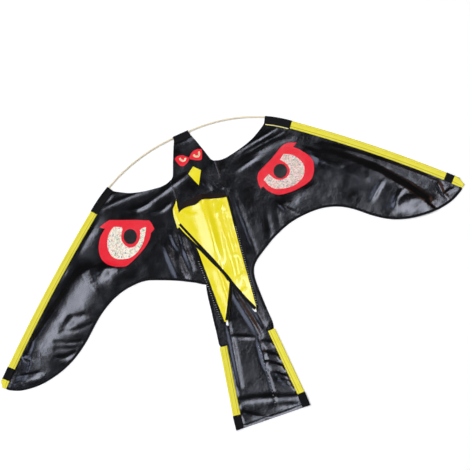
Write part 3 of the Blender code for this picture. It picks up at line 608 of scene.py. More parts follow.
def coated_cloth(name, dark, light, roughness, crumple, tint, ior=1.5):
    """Thin polyester with a glossy coating: it crumples finely and shines along its folds."""
    material, tree = own_material(name)
    place = add_node(tree, "ShaderNodeTexCoord").outputs["Object"]
    crumples = {"Vector": place, "Scale": noise_scale(14.3), "Detail": 3, "Roughness": 0.55}
    wide = add_node(tree, "ShaderNodeTexNoise", crumples)
    fine = add_node(tree, "ShaderNodeTexNoise", {"Vector": place, "Scale": noise_scale(5.0), "Detail": 2})
    # The real weave, 0.3 mm, is drawn 1.5 mm wide so that it shows
    weave = {"Vector": place, "Scale": wave_scale(1.5)}
    warp = add_node(tree, "ShaderNodeTexWave", weave, bands_direction="X").outputs["Fac"]
    weft = add_node(tree, "ShaderNodeTexWave", weave, bands_direction="Y").outputs["Fac"]
    threads = add_node(tree, "ShaderNodeMath", {0: warp, 1: weft}, operation="ADD").outputs[0]
    bumps = {"Height": wide.outputs["Fac"], "Strength": 0.5, "Distance": crumple * MM}
    bumps = {"Normal": add_node(tree, "ShaderNodeBump", bumps).outputs[0]}
    bumps.update({"Height": fine.outputs["Fac"], "Strength": 0.4, "Distance": 0.4 * crumple * MM})
    bumps = {"Normal": add_node(tree, "ShaderNodeBump", bumps).outputs[0]}
    bumps.update({"Height": threads, "Strength": 0.15, "Distance": 0.05 * MM})
    patches = add_node(tree, "ShaderNodeTexNoise", {"Vector": place, "Scale": noise_scale(45.5), "Detail": 2})
    share = patches.outputs["Fac"]
    tones = {"Factor": share, FIRST: colour(dark), SECOND: colour(light)}
    gloss = {"Value": share, "From Min": 0.3, "From Max": 0.7}
    gloss.update({"To Min": roughness - 0.05, "To Max": roughness + 0.07})
    inputs = {
        "Base Color": add_node(tree, "ShaderNodeMix", tones, data_type="RGBA").outputs[MIXED],
        "Roughness": add_node(tree, "ShaderNodeMapRange", gloss).outputs[0],
        "IOR": ior,
        "Specular Tint": colour(tint),
        "Normal": add_node(tree, "ShaderNodeBump", bumps).outputs[0],
    }
    return finish_material(material, inputs)


def woven_tape(name, dark, light, roughness, creases=(), shade=""):
    """Narrow woven binding tape: matt, ribbed across, a little fuzzy, with shade painted along its creases.
    """
    material, tree = own_material(name)
    place = add_node(tree, "ShaderNodeTexCoord").outputs["Object"]
    # The real ribs, 0.6 mm apart, are drawn 2.54 mm apart so that they show. Slanting bands come out wider
    # than the scale says by the root of two
    slant = {"Vector": place, "Scale": wave_scale(2.54 / math.sqrt(2)), "Distortion": 0.4}
    ribs = add_node(tree, "ShaderNodeTexWave", slant, bands_direction="DIAGONAL")
    fuzz = add_node(tree, "ShaderNodeTexNoise", {"Vector": place, "Scale": noise_scale(2.38), "Detail": 3})
    # Random tone between the two colours; on the keel's mouth tape the lighter brown tone is a painted sheen
    wear_and_sheen = add_node(tree, "ShaderNodeTexNoise", {"Vector": place, "Scale": noise_scale(22.2), "Detail": 3})
    tones = {"Factor": wear_and_sheen.outputs["Fac"], FIRST: colour(dark), SECOND: colour(light)}
    tone = add_node(tree, "ShaderNodeMix", tones, data_type="RGBA").outputs[MIXED]
    if creases:
        # A casing's map counts the points of its profile, which are 2.3 mm apart on top
        count = add_node(tree, "ShaderNodeUVMap", uv_map=CLOTH_MAP).outputs[0]
        count = add_node(tree, "ShaderNodeSeparateXYZ", {0: count}).outputs[1]
        # Painted shade along each crease, full within 0.14 profile points of it and gone by 0.42
        for crease in creases:
            off = add_node(tree, "ShaderNodeMath", {0: count, 1: crease}, operation="SUBTRACT").outputs[0]
            gap = add_node(tree, "ShaderNodeMath", {0: off}, operation="ABSOLUTE").outputs[0]
            fade = {"Value": gap, "From Min": 0.14, "From Max": 0.42, "To Min": 0.6, "To Max": 0.0}
            near = add_node(tree, "ShaderNodeMapRange", fade).outputs[0]
            tones = {"Factor": near, FIRST: tone, SECOND: colour(shade)}
            tone = add_node(tree, "ShaderNodeMix", tones, data_type="RGBA").outputs[MIXED]
    bumps = {"Height": ribs.outputs["Fac"], "Strength": 0.25, "Distance": 0.12 * MM}
    bumps = {"Normal": add_node(tree, "ShaderNodeBump", bumps).outputs[0]}
    bumps.update({"Height": fuzz.outputs["Fac"], "Strength": 0.3, "Distance": 0.15 * MM})
    inputs = {
        "Base Color": tone,
        "Roughness": roughness,
        "IOR": 1.5,
        "Specular IOR Level": 0.06,
        "Normal": add_node(tree, "ShaderNodeBump", bumps).outputs[0],
    }
    return finish_material(material, inputs)


def red_vinyl(name):
    """Red self-adhesive vinyl: an even strong red with a soft gloss and faint dimples."""
    material, tree = own_material(name)
    place = add_node(tree, "ShaderNodeTexCoord").outputs["Object"]
    dimples = add_node(tree, "ShaderNodeTexNoise", {"Vector": place, "Scale": noise_scale(11.1), "Detail": 3})
    share = dimples.outputs["Fac"]
    tones = {"Factor": share, FIRST: colour("#ea1026"), SECOND: colour("#f62236")}
    bumps = {"Height": share, "Strength": 0.4, "Distance": 0.8 * MM}
    inputs = {
        "Base Color": add_node(tree, "ShaderNodeMix", tones, data_type="RGBA").outputs[MIXED],
        "Roughness": 0.26,
        "IOR": 1.5,
        "Specular IOR Level": 0.35,
        "Normal": add_node(tree, "ShaderNodeBump", bumps).outputs[0],
    }
    return finish_material(material, inputs)


def glitter_film(name, light, dark):
    """Glitter film: silver, pink and green flakes among its own two tones, each with its own gloss."""
    material, tree = own_material(name)
    place = add_node(tree, "ShaderNodeTexCoord").outputs["Object"]
    # The real flakes, 0.5 mm across, are drawn 2.63 mm across so that they show
    flakes = add_node(tree, "ShaderNodeTexVoronoi", {"Vector": place, "Scale": noise_scale(2.63)})
    parts = add_node(tree, "ShaderNodeSeparateColor", {"Color": flakes.outputs["Color"]})
    pick, height, shine = parts.outputs
    tone = colour(light)
    # Each kind of flake takes those picked above its two limits
    kinds = ((0.45, 0.55, dark), (0.78, 0.80, "#f0b4a8"), (0.88, 0.90, "#b4c89c"), (0.95, 0.96, "#8c9ca4"))
    for low_limit, high_limit, flake in kinds:
        limits = {"Value": pick, "From Min": low_limit, "From Max": high_limit}
        taken = add_node(tree, "ShaderNodeMapRange", limits).outputs[0]
        tones = {"Factor": taken, FIRST: tone, SECOND: colour(flake)}
        tone = add_node(tree, "ShaderNodeMix", tones, data_type="RGBA").outputs[MIXED]
    gloss = {"Value": shine, "To Min": 0.2, "To Max": 0.5}
    bumps = {"Height": height, "Strength": 0.6, "Distance": 0.5 * MM}
    inputs = {
        "Base Color": tone,
        "Metallic": 0.15,
        "Roughness": add_node(tree, "ShaderNodeMapRange", gloss).outputs[0],
        "IOR": 1.5,
        "Normal": add_node(tree, "ShaderNodeBump", bumps).outputs[0],
    }
    return finish_material(material, inputs)


def smooth_solid(name, dark, light, roughness, streak, metallic=0.0):
    """A smooth solid with faint streaks: pulled fibreglass, drawn brass, moulded vinyl or thread."""
    material, tree = own_material(name)
    place = add_node(tree, "ShaderNodeTexCoord").outputs["Object"]
    streaks = {"Vector": place, "Scale": noise_scale(streak), "Detail": 3}
    share = add_node(tree, "ShaderNodeTexNoise", streaks).outputs["Fac"]
    bumps = {"Height": share, "Strength": 0.2, "Distance": 0.1 * MM}
    tones = {"Factor": share, FIRST: colour(dark), SECOND: colour(light)}
    inputs = {
        "Base Color": add_node(tree, "ShaderNodeMix", tones, data_type="RGBA").outputs[MIXED],
        "Metallic": metallic,
        "Roughness": roughness,
        "Normal": add_node(tree, "ShaderNodeBump", bumps).outputs[0],
    }
    return finish_material(material, inputs)


# Cloth: its two tones, roughness, depth of its crumples in millimetres, tint of its shine and IOR
BLACK_CLOTH = coated_cloth("black coated polyester", "#020202", "#060607", 0.17, 0.6, "#eceef8")
YELLOW_CLOTH = coated_cloth("yellow coated polyester", "#f6e200", "#fbf018", 0.18, 0.42, "#ffffff", 1.68)
# Tape: its two tones, roughness, where it is creased and the tone of the shade painted along its creases
BLACK_TAPE = woven_tape("black woven tape", "#070708", "#121113", 0.5)
# The tape at the keel's mouth: black, with a painted brown sheen as its lighter tone
BROWN_SHEEN_TAPE = woven_tape("faded black woven tape", "#080707", "#2c1e1a", 0.5)
YELLOW_TAPE = woven_tape("yellow woven tape", "#f0e236", "#f8f060", 0.6, (10.8, 16.6), "#8c7e14")
PALE_TAPE = woven_tape("pale yellow woven tape", "#e6dc7c", "#f2ecb4", 0.6)
# Film is even, with the soft gloss of plastic. Glitter film sparkles; the right iris's is pinker in tone and
# darkened as painted shade, and the face's yellower where old
RED_FILM = red_vinyl("red vinyl film")
GLITTER_FILM = glitter_film("cream glitter film", "#f8f0dc", "#e0d6c0")
SHADED_ROSE_FILM = glitter_film("worn rose glitter film", "#ecd6cc", "#cfb2a6")
CREAM_FILM = glitter_film("old cream glitter film", "#f0dcae", "#e6c690")
# Smooth solids: two tones, roughness and the size of their streaks in millimetres. Pulled fibreglass is pale
# and satin, drawn brass warm and bright, moulded vinyl dull, and thread matt
BLACK_FILM = smooth_solid("black vinyl film", "#030304", "#08080a", 0.22, 16.7)
FIBREGLASS = smooth_solid("ivory pulled fibreglass", "#f0e2bc", "#fbf1d4", 0.4, 6.25)
BRASS = smooth_solid("drawn brass", "#b08d4a", "#caa860", 0.3, 11.1, 1.0)
VINYL = smooth_solid("black moulded vinyl", "#141414", "#1f1f20", 0.45, 8.33)
WHITE_THREAD = smooth_solid("white polyester thread", "#c9c9c4", "#e6e6e2", 0.6, 1.11)
YELLOW_THREAD = smooth_solid("yellow polyester thread", "#b8a41e", "#d5c43c", 0.6, 1.11)
BLACK_THREAD = smooth_solid("black polyester thread", "#1c1a1c", "#3a373a", 0.55, 1.11)


def dress(obj, material, slot, body, replaces=(), other=None, at=None):
    """Gives a piece its finish, hides the CAD nodes it stands for and attaches it to the body it rides on. A
    piece given another body is only baked where it stands.
    """
    obj.data.materials.clear()
    obj.data.materials.append(material)
    if replaces:
        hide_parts(*replaces)
    if other is None:
        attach(obj, body)
    else:
        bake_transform(obj)
    return obj


def wing_bend(side):
    return [(side * x * MM, 0.0, 0.0) for x in WING_BEND]


def keel_bend(side):
    """From the keel's seam to 9 mm inside it, square to the seam, which leans inwards towards the tail."""
    start = Vector((side * 50.0, HEAD_Y - 352.0, 0.0)) * MM
    return [start, start + Vector((side * -9.0, 0.42, 0.0)) * MM]


def tail_bend():
    return [(0.0, (HEAD_Y - drop) * MM, 0.0) for drop in TAIL_BEND]


# Wings

# The edge from the neck to the shoulder is alike on both wings. The rear edge, from the waist to the tip,
# and the edge of the waist differ
SHOULDER_EDGE = (
    (56.5, 103), (60, 104), (66, 106.5), (73, 108.3), (81, 109), (88, 109), (97, 107.6), (107, 106),
    (120, 103.5), (133, 100.5), (148, 96), (165, 89), (182, 79), (197, 69), (206, 60), (211, 56),
)
REAR_EDGE = {
    "left": (
        (54, 399), (57, 396.6), (65, 391.5), (78, 381.5), (92, 373), (105, 365), (118, 357.5), (132, 350),
        (148, 342), (165, 334), (183, 326), (201, 322), (219, 321.5), (240, 323), (260, 327.5), (280, 335),
        (300, 346), (320, 360), (340, 378), (370, 407), (400, 430), (430, 446.5), (465, 458), (510, 464),
        (555, 458), (585, 444), (592, 437),
    ),
    "right": (
        (62, 430), (64.5, 416), (70.5, 403), (80, 392.5), (92, 383.5), (105, 375), (118, 367), (132, 358.5),
        (148, 351), (165, 344), (183, 338.5), (201, 335.3), (219, 334), (240, 334), (260, 336), (280, 341),
        (300, 349), (320, 361), (340, 377), (370, 406), (400, 430), (430, 446.5), (465, 458), (510, 464),
        (555, 458), (585, 444), (592, 437),
    ),
}
WAIST_EDGE = {
    "left": ((65.5, 520), (64, 495), (61.5, 465), (59.3, 432), (56.3, 408), (54, 399)),
    "right": ((65.8, 520), (64, 495), (62.3, 465), (61.6, 445), (62, 430)),
}
SEAM = ((103, 56.5), (204, 56.5), (300, 51.5), (370, 48), (507, 41.5), (549.6, 38), (784, 52))

EYES = {
    "left": {
        "patch": (
            ((134, 190), (138, 180), (147, 175), (170, 163), (200, 149), (224, 137.5), (232, 135), (246, 138),
             (258, 142)),
            ((258, 142), (253, 147), (247, 151.5)),
            ((247, 151.5), (262, 165), (270, 178), (276, 195), (278, 210), (276, 225), (270, 238), (262, 248),
             (250, 257), (235, 264), (225, 267), (212, 264), (185, 252), (165, 240), (155, 231), (147, 221),
             (143, 212)),
            ((143, 212), (138, 210), (132, 206)),
            ((132, 206), (133, 198), (134, 190)),
        ),
        "iris": (
            ((224, 157), (235, 163), (245, 175), (251, 188), (254, 203), (253, 218), (249, 230), (240, 240),
             (225, 247.5), (208, 251), (190, 246), (178, 238), (168, 228), (160, 215), (154, 203),
             (150, 193)),
            ((150, 193), (158, 191.5), (166, 193)),
            ((166, 193), (168, 203), (173, 214), (181, 223), (191, 228), (203, 225.5), (212, 214), (216, 200),
             (213, 185), (206, 172)),
            ((206, 172), (207, 166)),
            ((207, 166), (224, 157)),
        ),
        "pupil": (193.5, 199.0, 16.5, 20.0, 5),
    },
    "right": {
        "patch": (
            ((142, 196), (148, 184), (160, 176), (175, 169), (190, 162), (205, 153), (216, 146), (228, 141),
             (240, 141.5), (259, 150)),
            ((259, 150), (254, 153), (248, 157)),
            ((248, 157), (257, 166), (266, 178), (274, 190), (280, 203), (282.5, 215), (280, 229), (275, 242),
             (265, 255), (252, 261), (235, 264), (215, 265), (195, 263), (180, 259), (170, 252), (160, 241),
             (153, 230), (150, 221)),
            ((150, 221), (146, 222), (142, 223)),
            ((142, 223), (141, 210), (142, 196)),
        ),
        "iris": (
            ((221, 164), (229, 168), (240, 176), (250, 190), (256, 203), (258, 215), (255, 228), (248, 240),
             (238, 247), (222, 252), (205, 251), (190, 247), (175, 239.5), (165, 228), (160, 217),
             (156, 206)),
            ((156, 206), (164, 201), (172, 197)),
            ((172, 197), (176, 206), (181, 214), (188, 221), (198, 225), (209, 225), (218, 219), (222.5, 211),
             (222.5, 200), (218, 188), (212, 179), (208, 174)),
            ((208, 174), (221, 164)),
        ),
        "pupil": (200.5, 202.0, 16.5, 19.0, -12),
    },
}


def seam_x(drop):
    table = np.array(SEAM)
    return np.interp(drop, table[:, 0], table[:, 1])


def build_eye(name, side):
    """A scare eye: a red patch, a glitter iris on it and a black pupil."""
    parts = EYES[name]
    body = f"{name}_wing"
    outline = joined(*[mirrored(stroke, side) for stroke in parts["patch"]])
    patch = cut_cloth(f"{name}_eye_patch_film", outline, above(cloth_rise, FILM_LIFT), 2.6)
    dress(patch, RED_FILM, "red_film", body, [f"{name}_eye_patch"])
    outline = joined(*[mirrored(stroke, side) for stroke in parts["iris"]], step=2.0)
    top = above(cloth_rise, TOP_FILM_LIFT)
    iris = cut_cloth(f"{name}_eye_iris_film", outline, top, 2.2)
    # The right iris gets a pinker film that is darkened as painted shade
    film = GLITTER_FILM if name == "left" else SHADED_ROSE_FILM
    dress(iris, film, "glitter_film", body, [f"{name}_eye_iris"])
    across, drop, wide, long, lean = parts["pupil"]
    turns = np.radians(np.arange(0, 360, 8))
    lean = math.radians(lean) * side
    x = side * across + wide * np.cos(turns) * math.cos(lean) - long * np.sin(turns) * math.sin(lean)
    y = drop + wide * np.cos(turns) * math.sin(lean) + long * np.sin(turns) * math.cos(lean)
    pupil = cut_cloth(f"{name}_eye_pupil_film", np.stack([x, y], 1), top, 2.2)
    dress(pupil, BLACK_FILM, "black_film", body, [f"{name}_eye_pupil"])
    return [patch, iris, pupil]


def build_sail(name, side):
    """The wing sail and the side panel beside the belly, which are one cloth here."""
    reach = np.linspace(SHOULDER + 4, SPAR_LENGTH, 60)
    front = np.stack(behind_spar(reach, CLOTH_TUCK, side), 1)
    rear = mirrored(REAR_EDGE[name], side)
    waist = mirrored(WAIST_EDGE[name], side)
    seam = [(side * seam_x(drop), drop) for drop in np.linspace(NECK_DROP, SPLIT_DROP, 60)]
    outline = joined(
        mirrored(SHOULDER_EDGE, side) + [tuple(front[0])],
        front,
        [tuple(front[-1]), rear[-1]],
        rear[::-1],
        waist[::-1],
        [waist[0], seam[-1]],
        seam[::-1],
    )
    cloth = cut_cloth(f"{name}_wing_cloth", outline, cloth_rise)
    nodes = [f"{name}_wing_sail", f"{name}_side_panel"]
    dress(cloth, BLACK_CLOTH, "black_cloth", "body", nodes, f"{name}_wing", wing_bend(side))
    return cloth


def build_trailing_hem(name, side):
    waist = mirrored(WAIST_EDGE[name], side)
    rear = mirrored(REAR_EDGE[name], side)
    edge = np.vstack([even_path(waist, HEM_STEP)[:-1], even_path(rear, HEM_STEP)])
    if side > 0:
        edge = edge[::-1]
    hem = make_band(f"{name}_trailing_hem", edge, TRAILING_HEM_WIDTH, cloth_rise, lift=0.5, crown=0.3)
    nodes = [f"{name}_trailing_binding"]
    dress(hem, BLACK_TAPE, "black_tape", "body", nodes, f"{name}_wing", wing_bend(side))
    path = edge + side_normals(edge) * TRAILING_STITCH
    stitch_row((f"{name}_edge", BLACK_THREAD), path, cloth_rise, lift=1.15)
    return hem


def build_sleeve(name, side):
    """The yellow sleeve round the spar, the black tape at both its ends and the pocket at the tip."""
    body = f"{name}_wing"
    place = partial(behind_spar, side=side)
    distances = np.linspace(SHOULDER + 0.8, SPAR_LENGTH - 0.5, 150)
    profile = sleeve_profile(SLEEVE_RADIUS, SLEEVE_WIDTH, -1.9, -1.5)
    sleeve = make_casing(f"{name}_leading_tape", profile, distances, place, SPAR_Z)
    dress(sleeve, YELLOW_TAPE, "yellow_tape", body, [f"{name}_leading_sleeve"])

    wrap = sleeve_profile(WRAP_RADIUS, WRAP_WIDTH, -2.4, -0.8)
    distances = np.linspace(SHOULDER, SHOULDER + SHOULDER_PATCH, 28)
    patch = make_casing(f"{name}_shoulder_tape", wrap, distances, place, SPAR_Z)
    dress(patch, BLACK_TAPE, "black_tape", body, [f"{name}_shoulder_patch"])
    tip_end = TIP_PATCH_END[name]
    tip = make_casing(f"{name}_tip_tape", wrap, np.linspace(TIP_PATCH_START, tip_end, 12), place, SPAR_Z)
    dress(tip, BLACK_TAPE, "black_tape", body, [f"{name}_tip_patch"])

    def taper(distance):
        share = smooth((distance - tip_end - 6) / (POCKET_END - tip_end - 6))
        return 1 - 0.45 * share, 0.45 * SLEEVE_WIDTH * share, 1 - 0.55 * share

    distances = np.linspace(tip_end + 0.3, POCKET_END, 14)
    pocket = make_casing(f"{name}_tip_pocket_tape", wrap, distances, place, SPAR_Z, shrink=taper)
    dress(pocket, YELLOW_TAPE, "yellow_tape", body, [f"{name}_tip_pocket"])
    return [sleeve, patch, tip, pocket]


def stitch_sleeve(group, distances, place, top, fall):
    """Two seams hold a sleeve, one close behind its rod and one at its rear, where it is flatter."""
    for behind in SLEEVE_SEAMS:
        path = np.stack(place(distances, behind), 1)
        level = top - fall * behind / SLEEVE_WIDTH
        stitch_row((group, YELLOW_THREAD), path, flat_at(level), lift=0.1, girth=0.4)


def build_bow(name, side):
    distances = np.linspace(0.3, SHOULDER - 0.15, 60)
    bow = make_rod(f"{name}_bow_rod", distances, ROD_RADIUS, partial(behind_spar, side=side), SPAR_Z)
    dress(bow, FIBREGLASS, "fibreglass", "body", [f"{name}_bow"], f"{name}_wing", wing_bend(side))


def build_lining():
    """The worn edge of yellow lining that shows behind the right shoulder patch."""
    path = np.stack(behind_spar(np.arange(SHOULDER + 4, SHOULDER + 70, 4.0), WRAP_WIDTH, 1), 1)
    strip = make_band("right_shoulder_lining_tape", path, 2.2, cloth_rise, lift=0.7, across=2)
    return dress(strip, PALE_TAPE, "yellow_tape", "right_wing")


def build_wing(name, side):
    cloth = build_sail(name, side)
    pieces = [build_trailing_hem(name, side)] + build_eye(name, side) + build_sleeve(name, side)
    build_bow(name, side)
    distances = np.arange(SHOULDER + SHOULDER_PATCH + 2, TIP_PATCH_START - 1, STITCH_STEP)
    place = partial(behind_spar, side=side)
    stitch_sleeve(f"{name}_wing", distances, place, SPAR_Z + SLEEVE_RADIUS, 4.2)
    if name == "right":
        pieces.append(build_lining())


# Head

HEAD_SIDE = (
    (2, 20.0), (11, 21.5), (25, 27.0), (40, 32.3), (50, 35.5), (59, 38.5), (70, 42), (81, 45.3), (90, 48.2),
    (97, 51), (103, 56.5),
)
FACE_EYES = {
    "left": (
        ((-33, 56), (-28, 52.5), (-20, 52), (-12, 55), (-5, 61), (0.5, 67)),
        ((0.5, 67), (0, 73), (-5, 78), (-12, 81.5), (-18, 83), (-24, 80), (-28, 73), (-31, 64), (-33, 56)),
    ),
    "right": (
        ((1.5, 68), (4, 65.5), (9, 60.5), (16, 56.5), (23, 55.5), (30, 57.5), (36.5, 61)),
        ((36.5, 61), (35.5, 69), (33, 77), (31, 84), (28, 87)),
        ((28, 87), (22, 85.5), (14, 81.5), (8, 77), (3, 73), (1.5, 68)),
    ),
}
FACE_IRISES = {
    "left": ((-20.5, 59.5), (-18.8, 65.5), (-15, 70), (-11, 70.3), (-6.8, 65.5)),
    "right": ((14, 66.5), (17, 72), (21.5, 74.8), (25.5, 74.3), (28, 70), (28.5, 64)),
}
FACE_IRIS_WIDTH = 4.8
BEAK = ((4, 94.5), (19.5, 112.5), (3, 147.5), (-12.8, 108))


def head_rise(x, drop):
    room = smooth((drop - 18.0) / 14.0)
    return 1.2 * (1 - room) + cloth_rise(x, drop) * room


def build_head():
    """The head panel with its face, and the sleeve across its top that holds the bow."""
    sides = np.array(HEAD_SIDE)[:, ::-1]
    left, right = sides * (-1, 1), sides
    outline = joined(
        [tuple(left[0]), tuple(right[0])],
        right,
        [(NECK_HALF, NECK_DROP), (NECK_HALF, HEAD_END)],
        [(NECK_HALF, HEAD_END), (-NECK_HALF, HEAD_END)],
        [(-NECK_HALF, HEAD_END), (-NECK_HALF, NECK_DROP)],
        left[::-1],
    )
    cloth = cut_cloth("head_cloth", outline, head_rise)
    dress(cloth, BLACK_CLOTH, "black_cloth", "body", ["head_panel"])

    def place(distance, behind):
        return distance, SPAR_DROP + behind

    profile = sleeve_profile(WRAP_RADIUS, SLEEVE_WIDTH, -2.4, -1.2)
    sleeve = make_casing("head_sleeve_tape", profile, np.linspace(-20, 20, 16), place, SPAR_Z)
    dress(sleeve, BLACK_TAPE, "black_tape", "body", ["head_sleeve"])
    pieces = [sleeve]
    film_rise = above(head_rise, FILM_LIFT)
    for name in FACE_EYES:
        eye = cut_cloth(f"{name}_face_eye_film", joined(*FACE_EYES[name], step=1.5), film_rise, 1.5)
        dress(eye, RED_FILM, "red_film", "body", [f"{name}_face_eye"])
        path = even_path(FACE_IRISES[name], 1.2)
        path = path - side_normals(path) * FACE_IRIS_WIDTH / 2
        iris = make_band(f"{name}_face_iris_film", path, FACE_IRIS_WIDTH, head_rise, TOP_FILM_LIFT, across=3)
        dress(iris, CREAM_FILM, "glitter_film", "body", [f"{name}_face_iris"])
        pieces += [eye, iris]
    beak = joined(*zip(BEAK, BEAK[1:] + BEAK[:1]), step=2.0)
    beak = cut_cloth("beak_film", beak, film_rise, 1.8)
    dress(beak, YELLOW_CLOTH, "yellow_cloth", "body", ["beak"])
    pieces.append(beak)


# Back and tail

TAIL_EDGE = ((520, 65.7), (549.6, 68.5), (570, 70), (670, 81), (749, 89.7), (784, 92))
# Two small gaps in the cloth at the lower corners of the keel, where the pale floor shows
NOTCHES = (
    ((-36, 505), (-31, 505.5), (-33, 519.5), (-38.5, 517)),
    ((32, 504.5), (42, 504.5), (41, 519), (36, 515)),
)


def skewed(x, drop):
    """The tail hangs lower on its right."""
    return drop + TAIL_SKEW * x / TAIL_HALF * smooth((drop - TAIL_START) / 20.0)


def tail_edge(drop):
    table = np.array(TAIL_EDGE)
    return np.interp(drop, table[:, 0], table[:, 1])


def tail_rise(x, drop):
    room = smooth((tail_edge(drop) - np.abs(x) - 18.5) / 5.0)
    room = 1 - (1 - room) * smooth((drop - TAIL_SLEEVE_TOP) / 18.0)
    return cloth_rise(x, drop) * room + 0.9 * (1 - room)


def build_back():
    seam = [(seam_x(drop), drop) for drop in np.linspace(HEAD_END, SPLIT_DROP, 50)]
    outline = joined(
        [(-NECK_HALF, HEAD_END), (NECK_HALF, HEAD_END)],
        seam,
        [seam[-1], (-seam[-1][0], seam[-1][1])],
        mirrored(seam, -1)[::-1],
    )
    cloth = cut_cloth("back_cloth", outline, cloth_rise, holes=NOTCHES)
    dress(cloth, BLACK_CLOTH, "black_cloth", "body", ["back_panel"])


def build_tail_cloth():
    # The cloth ends inside the sleeves, which carry the outer edge
    drops = np.linspace(SPLIT_DROP, TAIL_END, 60)
    edge = tail_edge(drops) - 3.0 * smooth((drops - TAIL_SLEEVE_TOP) / 14)
    right = np.stack([edge, skewed(edge, drops)], 1)
    left = np.stack([-edge, skewed(-edge, drops)], 1)
    seam = seam_x(SPLIT_DROP)
    outline = joined(
        [tuple(left[0]), (-seam, SPLIT_DROP), (seam, SPLIT_DROP), tuple(right[0])],
        right,
        [tuple(right[-1]), tuple(left[-1])],
        left[::-1],
    )
    cloth = cut_cloth("tail_cloth", outline, tail_rise, 2.6)
    nodes = ["tail_panel", "left_tail_side", "right_tail_side"]
    return dress(cloth, BLACK_CLOTH, "black_cloth", "body", nodes, "tail", tail_bend())


def build_tail_hem():
    path = [(x, TAIL_HEM_DROP + TAIL_SKEW * x / TAIL_HALF) for x in np.linspace(*TAIL_HEM, 60)]
    hem = make_band("tail_edge_hem", path, TAIL_HEM_WIDTH, tail_rise, lift=0.5, crown=0.5)
    dress(hem, BLACK_CLOTH, "black_tape", "tail", ["tail_hem"])
    stitch_row(("tail", BLACK_THREAD), [(x, drop + 1.6) for x, drop in path[5:-5]], tail_rise, lift=1.1)
    return hem


def build_tail_sleeve(name, side):
    """The yellow sleeve round a tail rod, and the black pocket that closes its lower end."""

    def place(drop, behind):
        x = side * (tail_edge(drop) - TAIL_WRAP_RADIUS - behind)
        return x, skewed(x, drop)

    profile = sleeve_profile(TAIL_SLEEVE_RADIUS, SLEEVE_WIDTH, -1.5, -1.1)
    sleeve = make_casing(f"{name}_tail_tape", profile, np.linspace(*TAIL_SLEEVE, 60), place, TAIL_ROD_Z)
    dress(sleeve, YELLOW_TAPE, "yellow_tape", "tail", [f"{name}_tail_sleeve"])
    profile = sleeve_profile(TAIL_WRAP_RADIUS, SLEEVE_WIDTH + 0.8, -1.9, -0.4)
    drops = np.linspace(*TAIL_POCKET, 14)
    pocket = make_casing(f"{name}_tail_pocket_tape", profile, drops, place, TAIL_ROD_Z)
    dress(pocket, BLACK_TAPE, "black_tape", "tail", [f"{name}_tail_pocket"])
    drops = np.arange(TAIL_SLEEVE[0] + 2, TAIL_POCKET[0] - 2, STITCH_STEP)
    stitch_sleeve("tail", drops, place, TAIL_ROD_Z + TAIL_SLEEVE_RADIUS, 3.3)
    return [sleeve, pocket]


def build_tail():
    cloth = build_tail_cloth()
    pieces = [build_tail_hem()]
    for name, side in SIDES:
        pieces += build_tail_sleeve(name, side)


# Keel

# The right panel: its edge at the mouth, along the seam, then where its rear hem starts
MOUTH_EDGE = ((-61, 179), (-48, 176.5), (-25, 176), (0, 176.3), (20, 180.5), (40, 188.5), (57.5, 197))
MOUTH_CORNER = (58.7, 197.6)
MOUTH_FOOT = ((59, 207), (45, 203.5), (32, 199.5), (18, 195), (8, 191.8), (0, 191), (-8, 193), (-16, 195),
              (-24, 193.5), (-34, 191), (-45, 190), (-55, 191.5), (-63, 195.5))
RIGHT_SEAM = ((57.5, 197), (58, 206), (57.3, 225), (55.8, 250), (54, 275), (52.6, 300), (51.2, 325),
              (49.9, 350), (48.8, 375), (47.7, 400), (46.6, 430), (45.2, 465), (43.8, 495), (43, 508))
REAR_INNER = ((-67, 223), (-55.5, 251.5), (-45.3, 276.5), (-35, 301.5), (-24.6, 326.5), (-14.5, 351.5),
              (-5.5, 376.5), (4, 401.5), (11.5, 426.5), (20.7, 451.5), (30, 476.5), (39.5, 498), (43.5, 507))
RIGHT_FRONT = ((-74, 226), (-71, 214), (-67.5, 203), (-63.5, 193), (-61, 179))
KEEL_FOLDS = (
    (7.0, 22, 14, (-1, 176), (0, 240), (-2, 300), (-4, 350)),
    (2.2, 10, 8, (26, 212), (25, 300), (22, 370), (20, 424)),
    (1.2, 8, 6, (44, 225), (43, 300), (41, 380), (38, 440)),
    (0.9, 3, 3, (27, 355), (41, 362)),
    (1.3, 4, 3, (18, 422), (28, 417), (41, 411)),
    (1.0, 3, 3, (22, 456), (35, 449)),
    (1.0, 6, 6, (-56, 192), (-42, 212), (-24, 221)),
    (1.0, 5, 5, (24, 240), (38, 230), (46, 212)),
)
# The left panel's lower half, and the upper half that folds back over it along its ridge
RIDGE_X = -1.0
RIDGE_START = (RIDGE_X, 188.0)
RIDGE_END = (RIDGE_X, 411.0)
MOUTH_HEM_WIDTH = 13.0
LOWER_SEAM = ((-56.3, 188), (-56.3, 204), (-53.5, 240), (-50.8, 280), (-48, 305), (-46.8, 325), (-46.2, 350),
              (-44.9, 375), (-43.9, 400), (-43, 425), (-42, 450), (-41, 475), (-39.6, 500), (-39, 508))
LOWER_EDGE = ((7.3, 420), (6.8, 425), (-0.8, 445), (-10.7, 469), (-20.3, 490), (-29.5, 508))
UPPER_EDGE = ((-78, 232), (-71.3, 250), (-60, 275), (-49.5, 297), (-41.5, 313), (-24.9, 352), (-9.3, 386.5),
              (-2.4, 411.8))
SPIKE_LEFT = ((-59, 157.5), (-63.5, 166), (-69, 174), (-74, 182), (-76.8, 192), (-77.6, 206), (-77.6, 220),
              (-78, 232))
SPIKE_RIGHT = ((-61.5, 182), (-62, 178), (-60.5, 169), (-59, 157.5))


def keel_rise(x, drop):
    """The right panel climbs from its seam over the left one, and gapes a little at its mouth."""
    climb = 0.75 + 2.85 * smooth((56.5 - x) / 56.5)
    mouth = 1.6 * np.exp(-(((drop - 180) / 16) ** 2)) * smooth((56 - x) / 30) * smooth((x + 70) / 30)
    slack = 0.2 * ripple(x, drop, 17.0, 9.0)
    return np.maximum(climb + mouth + fold_heights(x, drop, KEEL_FOLDS) + slack, 0.75)


